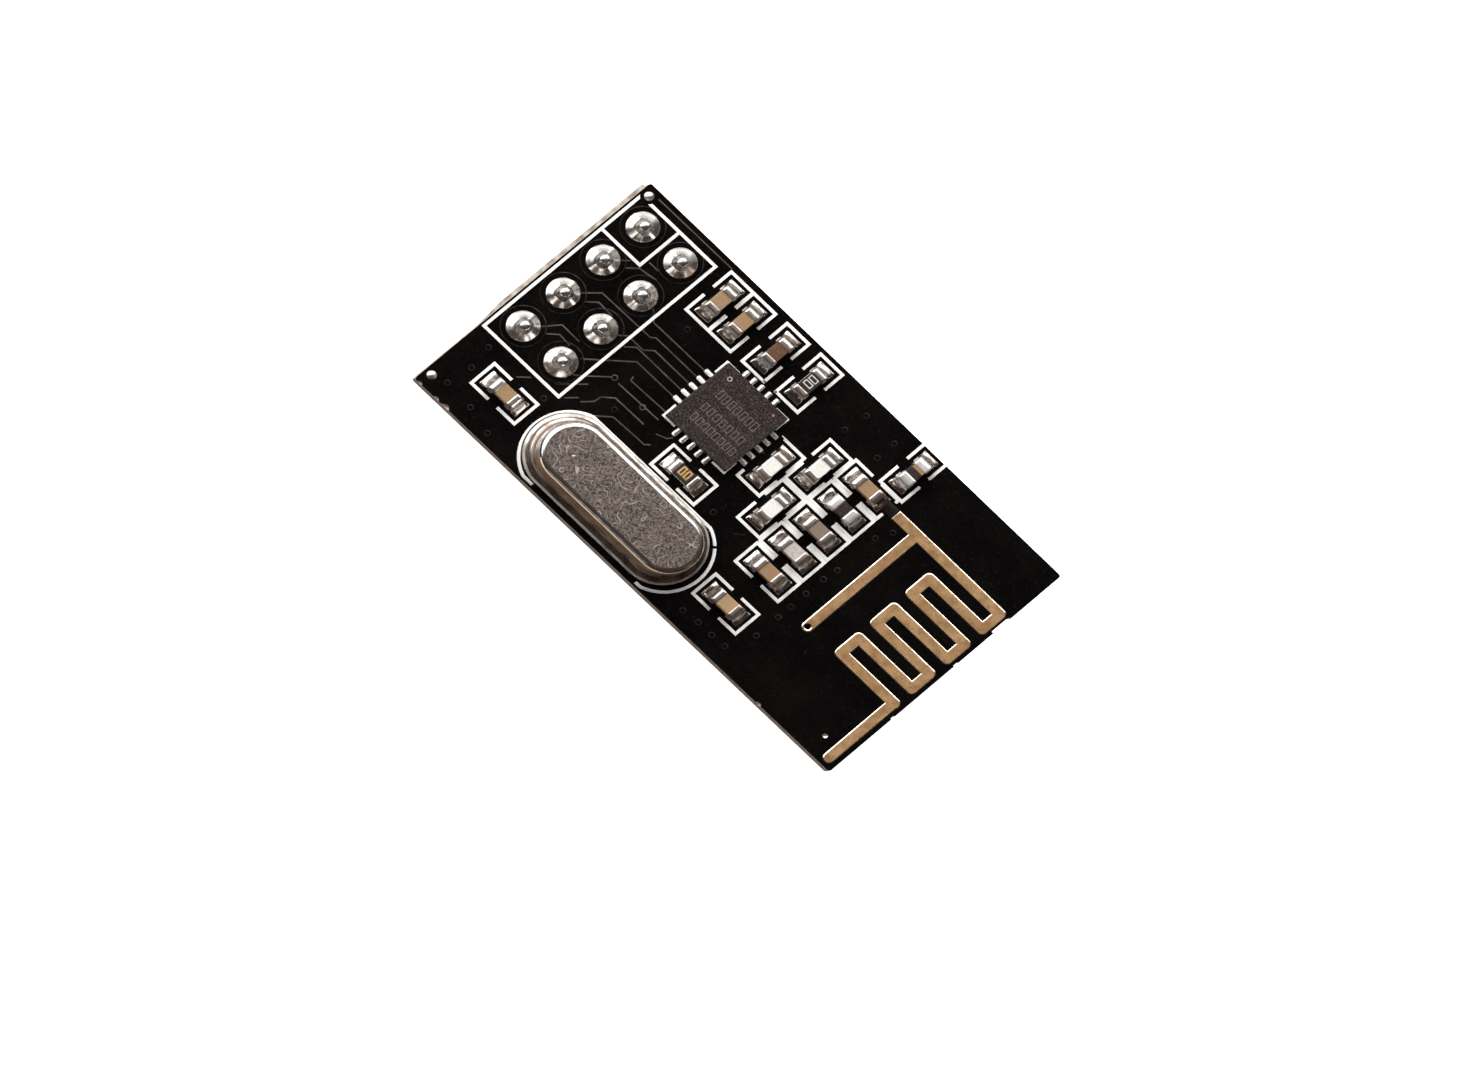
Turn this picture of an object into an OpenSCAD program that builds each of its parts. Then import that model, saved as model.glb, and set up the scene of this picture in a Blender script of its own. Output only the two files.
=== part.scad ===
// Plug-in wireless transceiver module.
// A black two-sided circuit board carries a radio chip, a metal-can crystal, chip
// components and a bare copper meander antenna. A two-row pin header under one end
// plugs the module into a socket. The origin is the middle of the pin grid on the
// header face that seats on the socket, with +X toward the antenna and +Z up.

/* [Board] */
// Length that the header, crystal and chips take, from the header end
circuit_l = 20; // [18:0.5:26]
// Length of the antenna field beyond the circuit
antenna_l = 8; // [7:0.5:14]
// Width of the board
board_w = 15; // [13.5:0.5:20]
// Thickness of the laminate
board_t = 1.6; // [0.8:0.1:2.4]
// Radius of the routed corners
corner_r = 0.15; // [0.05:0.05:0.5]
// Bore of the two tin-filled holes at the header end
tooling_d = 0.5; // [0.3:0.05:0.6]
// Bore of the small tin-filled hole near the antenna's tip
fiducial_d = 0.24; // [0.15:0.02:0.4]
// How far the scored header edge stands out past the mask
score_lip = 0.18; // [0.05:0.01:0.3]

/* [Copper and print] */
// Thickness of the bare copper and of the tinned lands
copper_t = 0.035; // [0.02:0.005:0.07]
// Height of a mask-covered trace over the board
trace_t = 0.02; // [0.01:0.005:0.03]
// Width of a signal trace
trace_w = 0.07; // [0.05:0.01:0.2]
// Outside diameter of a via's ring
via_d = 0.32; // [0.3:0.02:0.6]
// Bore of a via
via_bore = 0.22; // [0.1:0.02:0.26]
// Thickness of the white legend ink
ink_t = 0.04; // [0.035:0.005:0.08]
// Width of a legend line
ink_w = 0.16; // [0.1:0.01:0.3]

/* [Antenna] */
// Width of the antenna's copper strip
strip_w = 0.58; // [0.3:0.02:0.7]
// Distance between neighbouring runs of the meander
meander_pitch = 1.14; // [0.9:0.02:1.2]
// Margin between the meander and the antenna end of the board
meander_margin = 0.22; // [0.1:0.02:0.6]

/* [Pin header] */
// Distance between neighbouring pins
pitch = 2.54; // [2:0.01:2.6]
// Side of a square pin
pin_w = 0.64; // [0.5:0.02:0.7]
// Length of a pin below the housing
pin_below = 6; // [4:0.5:12]
// Length of a pin above the board
pin_above = 1.15; // [0.9:0.05:1.6]
// Height of the moulded housing
housing_h = 2.54; // [1.5:0.02:4]
// Depth of the notches between the housing's cells
cell_notch = 0.55; // [0.2:0.05:0.8]
// Bore of a plated pin hole
pin_hole_d = 1.02; // [1:0.01:1.2]
// Diameter of the solder joint at the board
joint_d = 1.62; // [1.4:0.02:1.8]
// Distance of the pin grid's middle from the header end of the board
header_from_end = 2.7; // [2.6:0.01:3]
// Distance of the pin grid's middle from the board's side away from the crystal
header_from_side = 5.66; // [5.5:0.01:5.7]

/* [Crystal] */
// Length of the drawn can
can_l = 9.6; // [8.8:0.1:10]
// Width of the drawn can
can_w = 3.3; // [2.8:0.1:3.5]
// Height of the crystal over the board
crystal_h = 3.5; // [2.8:0.1:5]
// Width of the welded lip around the can
lip = 0.52; // [0.4:0.02:0.6]
// Thickness of the can's sheet
can_wall = 0.22; // [0.15:0.01:0.3]
// Radius of the can's upper rim
rim_r = 0.3; // [0.25:0.01:0.5]
// Thickness of the base plate
base_t = 0.4; // [0.3:0.05:0.6]
// Diameter of a lead
lead_d = 0.43; // [0.3:0.01:0.5]
// Distance between the leads
lead_pitch = 4.88; // [4.5:0.02:5]
// Length of a lead below the board
lead_tail = 1.1; // [0.6:0.1:2]

/* [Radio chip] */
// Side of the square moulded body
chip_w = 4; // [3.8:0.1:4]
// Height of the moulded body
chip_h = 0.85; // [0.6:0.05:1]
// Distance between neighbouring terminals
terminal_pitch = 0.5; // [0.4:0.01:0.5]
// Width of a terminal
terminal_w = 0.25; // [0.15:0.01:0.28]
// Thickness of the lead frame
frame_t = 0.2; // [0.1:0.01:0.25]

/* [Chip components] */
// Length of a chip component
comp_l = 1.6; // [1.5:0.02:1.7]
// Width of a chip component
comp_w = 0.8; // [0.7:0.02:0.84]
// Height of a chip capacitor or coil
comp_h = 0.8; // [0.5:0.05:0.9]
// Height of a chip resistor
resistor_h = 0.47; // [0.35:0.01:0.6]
// Length of the metal at each end of a capacitor or coil
end_l = 0.42; // [0.3:0.02:0.48]
// Length of the metal at each end of a resistor
resistor_end_l = 0.34; // [0.2:0.02:0.45]
// Thickness of the metal at each end
end_t = 0.03; // [0.02:0.005:0.05]
// Length of a solder fillet beyond the component
fillet_l = 0.4; // [0.3:0.02:0.5]

/* [Hidden] */
$fn = 64;

// Length of the board, and height of its component face over the header's seat
board_l = circuit_l + antenna_l;
top_z = housing_h + board_t;
// How far a cut runs past the face that it opens
past = 1;

// Pin grid
rows = 2;
columns = 4;
housing_w = rows * pitch;
housing_l = columns * pitch;
pin_tip = 0.3;
pin_tip_in = 0.14;
pin_top_tip = pin_above - 0.15;
pin_top_in = 0.12;
pin_film = 0.03;
film_short = 0.1;
joint_top_d = pin_w * sqrt(2);
joint_h = 0.32;
joint_bow = 0.03;
joint_ring_gap = 0.24;
joint_ring_w = 0.05;
joint_land_d = joint_d;

// Crystal's parts
can_h = crystal_h - base_t;
lip_t = 0.24;
root_r = 0.28;
lead_hole_d = lead_d + 0.32;
seal_d = lead_d + 0.85;
lead_rise = 0.5;
lead_top = base_t + lead_rise;
blank_t = 0.15;
blank_end_room = 1.35;
blank_top_room = 1.3;
blank = [can_l - 2 * blank_end_room, blank_t, can_h - blank_top_room];
clip_t = 0.12;
clip_w = 0.9;
clip_in = 0.35;
tail_joint_d = lead_hole_d + 0.9;
tail_joint_h = lead_tail - 0.3;
tail_joint_bow = 0.08;

// Radio chip's parts
terminals = 5;
terminal_l = 0.4;
paddle_w = chip_w - 1.5;
chip_land_out = 0.44;
terminal_bow = 0.02;
mark_r = 0.14;
mark_in = 0.62;
mark_depth = 0.04;
dot_r = 0.06;
dot_in = [0.55, 0.4];

// Lands and fillets of the chip components
comp_land_gap = 0.86;
comp_land_w = comp_w + 0.14;
comp_land_out = comp_l / 2 + fillet_l;
fillet_rise = 0.72;
fillet_bow = 0.07;

// Legend brackets round the chip components
bracket_l = 2 * comp_land_out + 0.65;
bracket_w = comp_w + 0.84;
bracket_gap = 0.58;
ink_clear = 0.12;
ink_part_gap = 0.04;

// Room that each kind of part takes on the board, with its solder
crystal_room = [can_l + 2 * lip, can_w + 2 * lip];
chip_room = chip_w + 2 * chip_land_out;
comp_room = [2 * comp_land_out, comp_land_w];

// Antenna side: the match column, the two coils beside it and the first coil, each a gap
// apart, then the radio chip
match_gap = 0.35;
coil_gap = 0.63;
first_coil_gap = 0.66;
chip_gap = 0.39;
match_x = circuit_l - match_gap - comp_room.x / 2;
coil_x = match_x - comp_room.x / 2 - coil_gap - comp_room.y / 2;
first_coil_x = coil_x - comp_room.y - first_coil_gap;
chip_x = first_coil_x - comp_room.y / 2 - chip_gap - chip_room / 2;

// Across the board: the crystal, a resistor, the radio chip and a capacitor share what
// width they leave free; each share is what lies below that part
across_free = board_w - crystal_room.y - comp_room.y - chip_room - comp_room.x;
crystal_share = 0.123;
feedback_share = 0.36;
chip_share = 0.594;
core_share = 0.754;
crystal_y = crystal_room.y / 2 + crystal_share * across_free;
feedback_y = crystal_room.y + comp_room.y / 2 + feedback_share * across_free;
chip_y = crystal_room.y + comp_room.y + chip_room / 2 + chip_share * across_free;
core_y = board_w - comp_room.x / 2 - (1 - core_share) * across_free;
chip_at = [chip_x, chip_y];

// Along the crystal's row: it and the capacitors at its ends share the free length alike
row_free = circuit_l - crystal_room.x - 2 * comp_room.x;
load_share = 0.482;
crystal_row_share = 0.689;
load_2_share = 0.894;
load_x = comp_room.x / 2 + load_share * row_free;
load_2_x = 1.5 * comp_room.x + crystal_room.x + load_2_share * row_free;
crystal_at = [comp_room.x + crystal_room.x / 2 + crystal_row_share * row_free, crystal_y];
load_y = crystal_y + 0.02;

// Places beside the radio chip and along the board's upper side
core_at = [chip_x - 0.88, core_y];
bias_at = [chip_x + 1.35, core_y + 0.05];
feedback_at = [chip_x + 0.85, feedback_y];
first_coil_at = [first_coil_x, chip_y - 0.22];
coil_y = chip_y - 1.72;
edge_cap_at = [circuit_l - 0.68, board_w - 1.38];
match_step = bracket_w - 0.05;
match_top_y = board_w - 3.59;
match_y = match_top_y - 4 * match_step;

// The supply capacitors stand between the pin joints and the core capacitor
supply_overlap = 0.12;
supply_step = bracket_w - supply_overlap;
supply_share = 0.5263;
joint_edge = header_from_end + (pitch + joint_land_d) / 2;
supply_free = core_at.x - joint_edge - supply_step - 1.5 * comp_room.y;
supply_x = joint_edge + supply_share * supply_free + comp_room.y / 2;
supply_y = board_w - 1.87;

// Each chip component: name, kind, place from the board's corner, turn
NAME = 0;
KIND = 1;
PLACE = 2;
TURN = 3;
CHIPS = [
    ["supply_capacitor_1", "tan", [supply_x, supply_y], 90],
    ["supply_capacitor_2", "tan", [supply_x + supply_step, supply_y], 90],
    ["core_capacitor", "brown", core_at, 90],
    ["bias_resistor", "resistor", bias_at, 90],
    ["load_capacitor_1", "tan", [load_x, load_y], 0],
    ["load_capacitor_2", "tan", [load_2_x, load_y], 0],
    ["feedback_resistor", "resistor", feedback_at, 0],
    ["match_coil_1", "white", first_coil_at, 90],
    ["match_coil_2", "white", [coil_x, coil_y + bracket_l], 90],
    ["match_coil_3", "white", [coil_x, coil_y], 90],
    ["match_capacitor_1", "tan", [match_x, match_y + 4 * match_step], 0],
    ["match_capacitor_2", "dark", edge_cap_at, 90],
    ["match_capacitor_3", "dark", [match_x, match_y + 3 * match_step], 0],
    ["match_capacitor_4", "grey", [match_x, match_y + 2 * match_step], 0],
    ["match_capacitor_5", "pale", [match_x, match_y + match_step], 0],
    ["match_capacitor_6", "tan", [match_x, match_y], 0],
];

// Antenna: feed, shorted stub, meander and final arm, in board places
feed_rise = 0.09;
feed_gap = 0.36;
stub_gap = 1.8;
meander_gap = 3.86;
arm_in = 0.04;
feed_y = match_top_y + feed_rise;
feed_x = circuit_l + feed_gap;
stub_x = circuit_l + stub_gap;
stub_end = 4.47;
stub_bore = 0.3;
meander_out = board_l - meander_margin - strip_w / 2;
meander_in = circuit_l + meander_gap;
meander_runs = 6;
arm_x = meander_out - arm_in;
arm_end = 0.5;
function run_y(i) = feed_y - i * meander_pitch;
MEANDER = concat(
    [[feed_x + strip_w / 2, feed_y], [meander_out, feed_y]],
    [for (i = [1 : meander_runs]) for (k = [0, 1])
        [(i + k) % 2 == 1 ? meander_out : meander_in, run_y(i)]],
    [[arm_x, run_y(meander_runs)], [arm_x, arm_end]]);

// Mask-covered traces and vias, as the lines that show in the board's surface, on a layout
// grid that divides the circuit's length and the board's width
grid_columns = 20;
grid_rows = 15;
function on_grid(p) = [p.x * circuit_l / grid_columns, p.y * board_w / grid_rows];
TRACES = [
    [[8.9, 10.12], [5.4, 10.1], [4.9, 10.55]],
    [[8.9, 9.63], [6.05, 9.63], [5.85, 9.45], [2.65, 9.4], [1.95, 8.65]],
    [[8.9, 9.13], [6.5, 9.13], [6.1, 8.75], [5.1, 8.75], [4.7, 8.4]],
    [[8.9, 8.63], [5.8, 8.63], [5.4, 8.25]],
    [[8.9, 8.13], [6.35, 8.12], [4.5, 6.35]],
    [[9.2, 7.32], [6.85, 7.25], [6.8, 7.45]],
    [[9.2, 6.78], [6.6, 6.72]],
    [[6.12, 6.72], [5.35, 5.95], [4.85, 5.5]],
    [[8.9, 6.12], [7.05, 6.1], [6.55, 5.65], [6.5, 5.25], [6.1, 4.8]],
    [[9.9, 5.6], [9.7, 5.42], [7.7, 5.35], [7.05, 4.75]],
    [[5.65, 5.65], [4.6, 4.55]],
    [[1.95, 6.05], [2.6, 6.9], [3.75, 6.88]],
    [[2.45, 6.05], [2.9, 6.47], [3.6, 6.42]],
    [[2.45, 8.5], [2.9, 8.95], [3.8, 8.92]],
    [[1.95, 11.15], [2.3, 11.5]],
    [[2.45, 11.1], [2.9, 11.55], [3.9, 11.7]],
    [[3, 12.1], [3.6, 12.1]],
    [[0.9, 14.68], [5.8, 14.7]],
    [[3.15, 3.5], [3.6, 3.95]],
    [[5.45, 4.4], [5.85, 4.85]],
    [[9.7, 6.2], [10.2, 6.4], [10.35, 6.62]],
    [[13.85, 9.2], [13.7, 9.2]],
    [[15.95, 5.27], [16.3, 5.6]],
];
VIAS = [
    [6.25, 6.8], [6.7, 11], [8.25, 6.7], [7.45, 5.65], [14.45, 5.35], [1.15, 3.6],
    [1.38, 2.3], [1.2, 0.95], [4.8, 3.65], [2.85, 0.85], [4.35, 0.5], [15.65, 14.05],
    [17.6, 14], [15.5, 12.8], [17.6, 12.9], [20.95, 10.75], [20.6, 9.95], [20.6, 7.5],
    [20.5, 6.7], [20.5, 5.6], [20.5, 4.6], [20.5, 3.8], [20.5, 2.4], [18.15, 0.9],
    [19.05, 0.9], [19.9, 0.95], [17.2, 0.8],
];

// Tin-filled holes and board wear, in board places
tooling_at = [[0.42, 0.7], [0.46, board_w - 0.53]];
fiducial_at = [board_l - 1.5, 1.15];
tin_dome = 0.12;
// Nicks left by the break-off tabs: start along the antenna end, length, depth
END_NICKS = [[10.6, 1.12, 0.12], [8.05, 0.3, 0.06], [4, 0.25, 0.06]];
// Chips in the crystal's edge: place along the edge, radius
EDGE_CHIPS = [[0.35, 0.16], [1.45, 0.17], [2.05, 0.24], [23.15, 0.18]];
score_span = [4.1, board_w - 0.1];
score_taper = 1.6;
score_t = board_t * 0.4;

// Pin i stands in row (i - 1) % 2, from the legend's boxed corner on
function pin_at(i) = [((i - 1) % rows - (rows - 1) / 2) * pitch,
                      ((columns - 1) / 2 - floor((i - 1) / rows)) * pitch];
function pin_places() = [for (i = [1 : rows * columns]) pin_at(i)];
function lead_places() = [for (s = [-1, 1]) crystal_at + [s * lead_pitch / 2, 0]];
function comp_height(c) = c[KIND] == "resistor" ? resistor_h : comp_h;
function comp_end(c) = c[KIND] == "resistor" ? resistor_end_l : end_l;
// Neighbouring brackets of the match column leave a line of bare mask between them
function bracket_width(c) = c[PLACE].x == match_x ? match_step - ink_part_gap : bracket_w;

// Children are placed from the board's corner, on its component face
module on_board() {
    translate([-header_from_end, header_from_side - board_w, top_z]) children();
}

// Children are placed about the pin grid's middle, in board places
module at_header() {
    translate([header_from_end, board_w - header_from_side]) children();
}

module at_component(c) {
    translate(c[PLACE]) rotate(c[TURN]) children();
}

module rounded_rectangle(l, w, r) {
    translate([r, 0]) square([l - 2 * r, w]);
    translate([0, r]) square([l, w - 2 * r]);
    for (x = [r, l - r]) for (y = [r, w - r]) translate([x, y]) circle(r);
}

// Line of width w through points, with round ends and joints
module stroke(points, w) {
    for (i = [0 : len(points) - 2]) {
        along = points[i + 1] - points[i];
        translate(points[i]) rotate(atan2(along.y, along.x))
            translate([0, -w / 2]) square([norm(along), w]);
    }
    for (p = points) translate(p) circle(w / 2);
}

module rectangle_frame(l, w, line) {
    difference() {
        square([l, w], center = true);
        square([l - 2 * line, w - 2 * line], center = true);
    }
}

// Triangle l wide and h high with its long side bowed inwards, as solder wets a corner
module concave_wedge(l, h, bow) {
    chord = norm([l, h]);
    r = (chord * chord / 4 + bow * bow) / (2 * bow);
    away = sqrt(r * r - chord * chord / 4);
    difference() {
        polygon([[0, 0], [l, 0], [0, h]]);
        translate([l, h] / 2 + away * [h, l] / chord) circle(r);
    }
}

// Solder cone of revolution on the plane z = 0
module solder_cone(base_d, top_d, h, bow) {
    rotate_extrude() {
        square([top_d / 2, h]);
        translate([top_d / 2, 0]) concave_wedge((base_d - top_d) / 2, h, bow);
    }
}

// Solid with round ends from a half section; straight is its length between the ends
module stadium_solid(straight) {
    for (s = [-1, 1])
        translate([s * straight / 2, 0, 0]) rotate(-90 * s) rotate_extrude(angle = 180) children();
    rotate([90, 0, 90]) linear_extrude(straight, center = true) {
        children();
        mirror([1, 0]) children();
    }
}

// Board

module board_outline() {
    difference() {
        rounded_rectangle(board_l, board_w, corner_r);
        for (n = END_NICKS) translate([board_l - n[2], n[0]]) square([n[2] + past, n[1]]);
    }
}

// Rough web of bare laminate along the scored header end
module score_web() {
    translate([0, 0, -board_t / 2 - score_t / 2]) linear_extrude(score_t)
        polygon([[0.1, score_span[0]], [0, score_span[0]],
                 [-score_lip, score_span[0] + score_taper],
                 [-score_lip, score_span[1] - corner_r], [0, score_span[1] - corner_r],
                 [0.1, score_span[1] - corner_r]]);
}

module circuit_board() {
    color("#141213") on_board() difference() {
        union() {
            translate([0, 0, -board_t]) linear_extrude(board_t) board_outline();
            score_web();
        }
        translate([0, 0, -board_t - past]) linear_extrude(board_t + 2 * past) {
            at_header() for (p = pin_places()) translate(p) circle(d = pin_hole_d);
            for (p = lead_places()) translate(p) circle(d = lead_hole_d);
            for (p = tooling_at) translate(p) circle(d = tooling_d);
            translate(fiducial_at) circle(d = fiducial_d);
            translate([stub_x, stub_end]) circle(d = stub_bore);
        }
        for (c = EDGE_CHIPS) translate([c[0], -c[1] / 3, 0]) sphere(c[1]);
    }
}

module tinned_holes() {
    color("#d9d6d2") on_board() {
        for (p = tooling_at) translate(p) tin_plug(tooling_d);
        translate(fiducial_at) tin_plug(fiducial_d);
    }
}

// Plug that fills a hole of the board and swells a little over its face
module tin_plug(d) {
    translate([0, 0, -board_t]) cylinder(d = d, h = board_t);
    rise = tin_dome * d / tooling_d;
    r = (d * d / 4 + rise * rise) / (2 * rise);
    intersection() {
        translate([0, 0, rise - r]) sphere(r);
        cylinder(d = 2 * d, h = rise);
    }
}

// Copper and print

// Copper under one end of a chip component
module component_land() {
    translate([comp_land_gap / 2, -comp_land_w / 2])
        square([comp_land_out - comp_land_gap / 2, comp_land_w]);
}

module chip_land() {
    translate([chip_w / 2 - terminal_l, -terminal_w / 2])
        square([terminal_l + chip_land_out, terminal_w]);
}

// Children stand at each terminal of the radio chip, with +X outwards
module at_terminals() {
    for (side = [0 : 3]) for (i = [0 : terminals - 1])
        translate(chip_at) rotate(90 * side)
            translate([0, (i - (terminals - 1) / 2) * terminal_pitch]) children();
}

// Crystal's outline on the board, grown by gap all round
module crystal_footprint(gap) {
    r = can_w / 2 + lip + gap;
    translate(crystal_at) {
        square([can_l - can_w, 2 * r], center = true);
        for (s = [-1, 1]) translate([s * (can_l - can_w) / 2, 0]) circle(r);
    }
}

module lands_plan() {
    at_header() for (p = pin_places()) translate(p) circle(d = joint_land_d);
    for (c = CHIPS) for (s = [0, 180]) at_component(c) rotate(s) component_land();
    at_terminals() chip_land();
    translate(chip_at) square(paddle_w, center = true);
}

module component_lands() {
    color("#c9c6c2") on_board() linear_extrude(copper_t) difference() {
        lands_plan();
        at_header() for (p = pin_places()) translate(p) circle(d = pin_hole_d);
    }
}

module antenna_plan() {
    translate([feed_x, feed_y - strip_w / 2]) square([strip_w, strip_w]);
    stroke(MEANDER, strip_w);
    stroke([[stub_x, feed_y], [stub_x, stub_end]], strip_w);
}

module antenna_strip() {
    color("#a8865f") on_board() linear_extrude(copper_t) difference() {
        antenna_plan();
        translate([stub_x, stub_end]) circle(d = stub_bore);
    }
}

module trace_plan() {
    for (t = TRACES) stroke([for (p = t) on_grid(p)], trace_w);
    for (v = VIAS) translate(on_grid(v)) difference() {
        circle(d = via_d);
        circle(d = via_bore);
    }
    at_header() for (p = pin_places()) translate(p) difference() {
        circle(d = joint_land_d + 2 * joint_ring_gap + 2 * joint_ring_w);
        circle(d = joint_land_d + 2 * joint_ring_gap);
    }
    feed_start = match_x + comp_land_out;
    translate([feed_start, feed_y - strip_w / 2]) square([feed_x - feed_start, strip_w]);
}

module signal_traces() {
    color("#241d1b") on_board() linear_extrude(trace_t) difference() {
        trace_plan();
        lands_plan();
        antenna_plan();
        crystal_footprint(0);
        for (p = tooling_at) translate(p) circle(d = tooling_d);
        translate(fiducial_at) circle(d = fiducial_d);
    }
}

// Pair of brackets round a chip component
module bracket(width) {
    difference() {
        rectangle_frame(bracket_l, width, ink_w);
        square([bracket_gap, 2 * bracket_w], center = true);
    }
}

// Lines round the header and the square round its first pin, printed a little off the grid
module header_legend() {
    room = [0.05, 0];
    slip = [0, -0.12];
    half = [housing_w, housing_l] / 2 + room;
    translate(slip) {
        rectangle_frame(2 * half.x, 2 * half.y, ink_w);
        translate([0, half.y - pitch - ink_w]) square([ink_w, pitch + ink_w]);
        translate([-half.x, half.y - pitch - ink_w]) square([half.x + ink_w, ink_w]);
    }
}

// Outline round the crystal: flat sides and bowed ends, broken along the board's edge
module crystal_legend() {
    room = [0.14, -0.01];
    slip = [0.155, -0.03];
    half_l = can_l / 2 + lip + room.x + ink_w;
    half_w = can_w / 2 + lip + room.y + ink_w;
    bow_r = half_w + 0.13;
    broken_in = [2.3, 2];
    break_w = 0.14;
    translate(crystal_at + slip) difference() {
        crystal_legend_field(half_l, half_w, bow_r);
        crystal_legend_field(half_l - ink_w, half_w - ink_w, bow_r - ink_w);
        translate([broken_in[0] - half_l, -half_w - past])
            square([2 * half_l - broken_in[0] - broken_in[1], half_w]);
        translate([half_l - bow_r, 0]) rotate(46) translate([bow_r, 0])
            square([4 * ink_w, break_w], center = true);
    }
}

module crystal_legend_field(half_l, half_w, bow_r) {
    straight = half_l - bow_r;
    intersection() {
        square([2 * half_l, 2 * half_w], center = true);
        union() {
            for (s = [-1, 1]) translate([s * straight, 0]) circle(bow_r);
            square([2 * straight, 2 * half_w], center = true);
        }
    }
}

// Corner marks round the radio chip
module chip_legend() {
    arm = 0.85;
    line = ink_w * 0.65;
    half = chip_w / 2 + line;
    translate(chip_at) difference() {
        rectangle_frame(2 * half, 2 * half, line);
        for (turn = [0, 90]) rotate(turn) square([2 * (half - arm), 3 * half], center = true);
    }
}

// Where the legend stays clear of solder
module legend_keepout() {
    for (c = CHIPS) for (s = [0, 180]) at_component(c) rotate(s)
        translate([comp_land_gap / 2 - ink_clear, -comp_land_w / 2 - ink_clear])
            square([comp_land_out - comp_land_gap / 2 + 2 * ink_clear,
                    comp_land_w + 2 * ink_clear]);
    reach = chip_w / 2 + chip_land_out + 2 * ink_clear;
    span = (terminals - 1) * terminal_pitch + terminal_w + 2 * ink_clear;
    translate(chip_at) for (turn = [0, 90]) rotate(turn)
        square([2 * reach, span], center = true);
    translate([match_x + comp_land_gap / 2, feed_y - strip_w / 2 - ink_clear])
        square([feed_x, strip_w + 2 * ink_clear]);
    for (p = tooling_at) translate(p) circle(d = tooling_d + 3 * ink_clear);
    crystal_footprint(ink_part_gap);
    translate(chip_at) square(chip_w, center = true);
}

module legend_plan() {
    intersection() {
        square([board_l, board_w]);
        difference() {
            union() {
                at_header() header_legend();
                crystal_legend();
                chip_legend();
                for (c = CHIPS) at_component(c) bracket(bracket_width(c));
            }
            legend_keepout();
        }
    }
}

module legend_print() {
    color("#f2f0ee") on_board() difference() {
        linear_extrude(ink_t) legend_plan();
        linear_extrude(trace_t) trace_plan();
    }
}

// Radio chip

module radio_chip_terminals() {
    color("#c9c6c2") on_board() translate([0, 0, copper_t]) {
        linear_extrude(frame_t) at_terminals()
            translate([chip_w / 2 - terminal_l, -terminal_w / 2]) square([terminal_l, terminal_w]);
        translate(chip_at) linear_extrude(frame_t) square(paddle_w, center = true);
    }
}

module radio_chip() {
    color("#3e3432") difference() {
        on_board() translate([chip_at.x, chip_at.y, copper_t]) difference() {
            translate([-chip_w / 2, -chip_w / 2, 0]) cube([chip_w, chip_w, chip_h]);
            translate([mark_in - chip_w / 2, chip_w / 2 - mark_in, chip_h - mark_depth])
                cylinder(r = mark_r, h = past);
            translate([chip_w / 2 - dot_in.x, chip_w / 2 - dot_in.y, chip_h - mark_depth])
                cylinder(r = dot_r, h = past);
        }
        radio_chip_terminals();
    }
}

module radio_chip_solder() {
    color("#dedbd8") on_board() translate([0, 0, copper_t]) at_terminals()
        translate([chip_w / 2, terminal_w / 2, 0]) rotate([90, 0, 0])
            linear_extrude(terminal_w) concave_wedge(chip_land_out, frame_t, terminal_bow);
}

// Crystal

// Half section of the drawn can over its welded lip, r from the can's middle line
module cover_section() {
    r = can_w / 2;
    in = r - can_wall;
    in_r = rim_r - can_wall;
    difference() {
        union() {
            square([r - rim_r, can_h]);
            square([r, can_h - rim_r]);
            translate([r - rim_r, can_h - rim_r]) circle(rim_r);
            square([r + lip, lip_t]);
            difference() {
                square([r + root_r, lip_t + root_r]);
                translate([r + root_r, lip_t + root_r]) circle(root_r);
            }
        }
        square([in - in_r, can_h - can_wall]);
        square([in, can_h - can_wall - in_r]);
        translate([in - in_r, can_h - can_wall - in_r]) circle(in_r);
    }
}

module crystal_cover() {
    color("#8c827b") on_board() translate([crystal_at.x, crystal_at.y, base_t])
        stadium_solid(can_l - can_w) cover_section();
}

module crystal_base() {
    color("#b9b4ae") on_board() difference() {
        translate(crystal_at) stadium_solid(can_l - can_w) square([can_w / 2 + lip, base_t]);
        for (p = lead_places()) translate([p.x, p.y, -past])
            cylinder(d = seal_d, h = base_t + 2 * past);
    }
}

module crystal_seals() {
    color("#3f5a52") on_board() for (p = lead_places()) translate(p)
        linear_extrude(base_t) difference() {
            circle(d = seal_d);
            circle(d = lead_d);
        }
}

module crystal_leads() {
    color("#c9c6c2") on_board() for (p = lead_places())
        translate([p.x, p.y, -board_t - lead_tail])
            cylinder(d = lead_d, h = board_t + lead_tail + lead_top);
}

// Sheet clips on the leads' tops, slotted for the ends of the blank
module crystal_clips() {
    stand = blank.x / 2 - clip_in;
    foot = lead_pitch / 2 - lead_d;
    color("#b08d4f") on_board() difference() {
        for (s = [0, 180]) translate([crystal_at.x, crystal_at.y, lead_top]) rotate(s)
            translate([0, clip_w / 2, 0]) rotate([90, 0, 0]) linear_extrude(clip_w) {
                translate([foot, 0]) square([stand + clip_t - foot, clip_t]);
                translate([stand, 0]) square([clip_t, blank.z]);
            }
        blank_solid();
    }
}

module blank_solid() {
    translate([crystal_at.x, crystal_at.y, lead_top + 2 * clip_t])
        translate([-blank.x / 2, -blank.y / 2, 0]) cube(blank);
}

module quartz_blank() {
    color("#e4e8ea") on_board() blank_solid();
}

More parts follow.
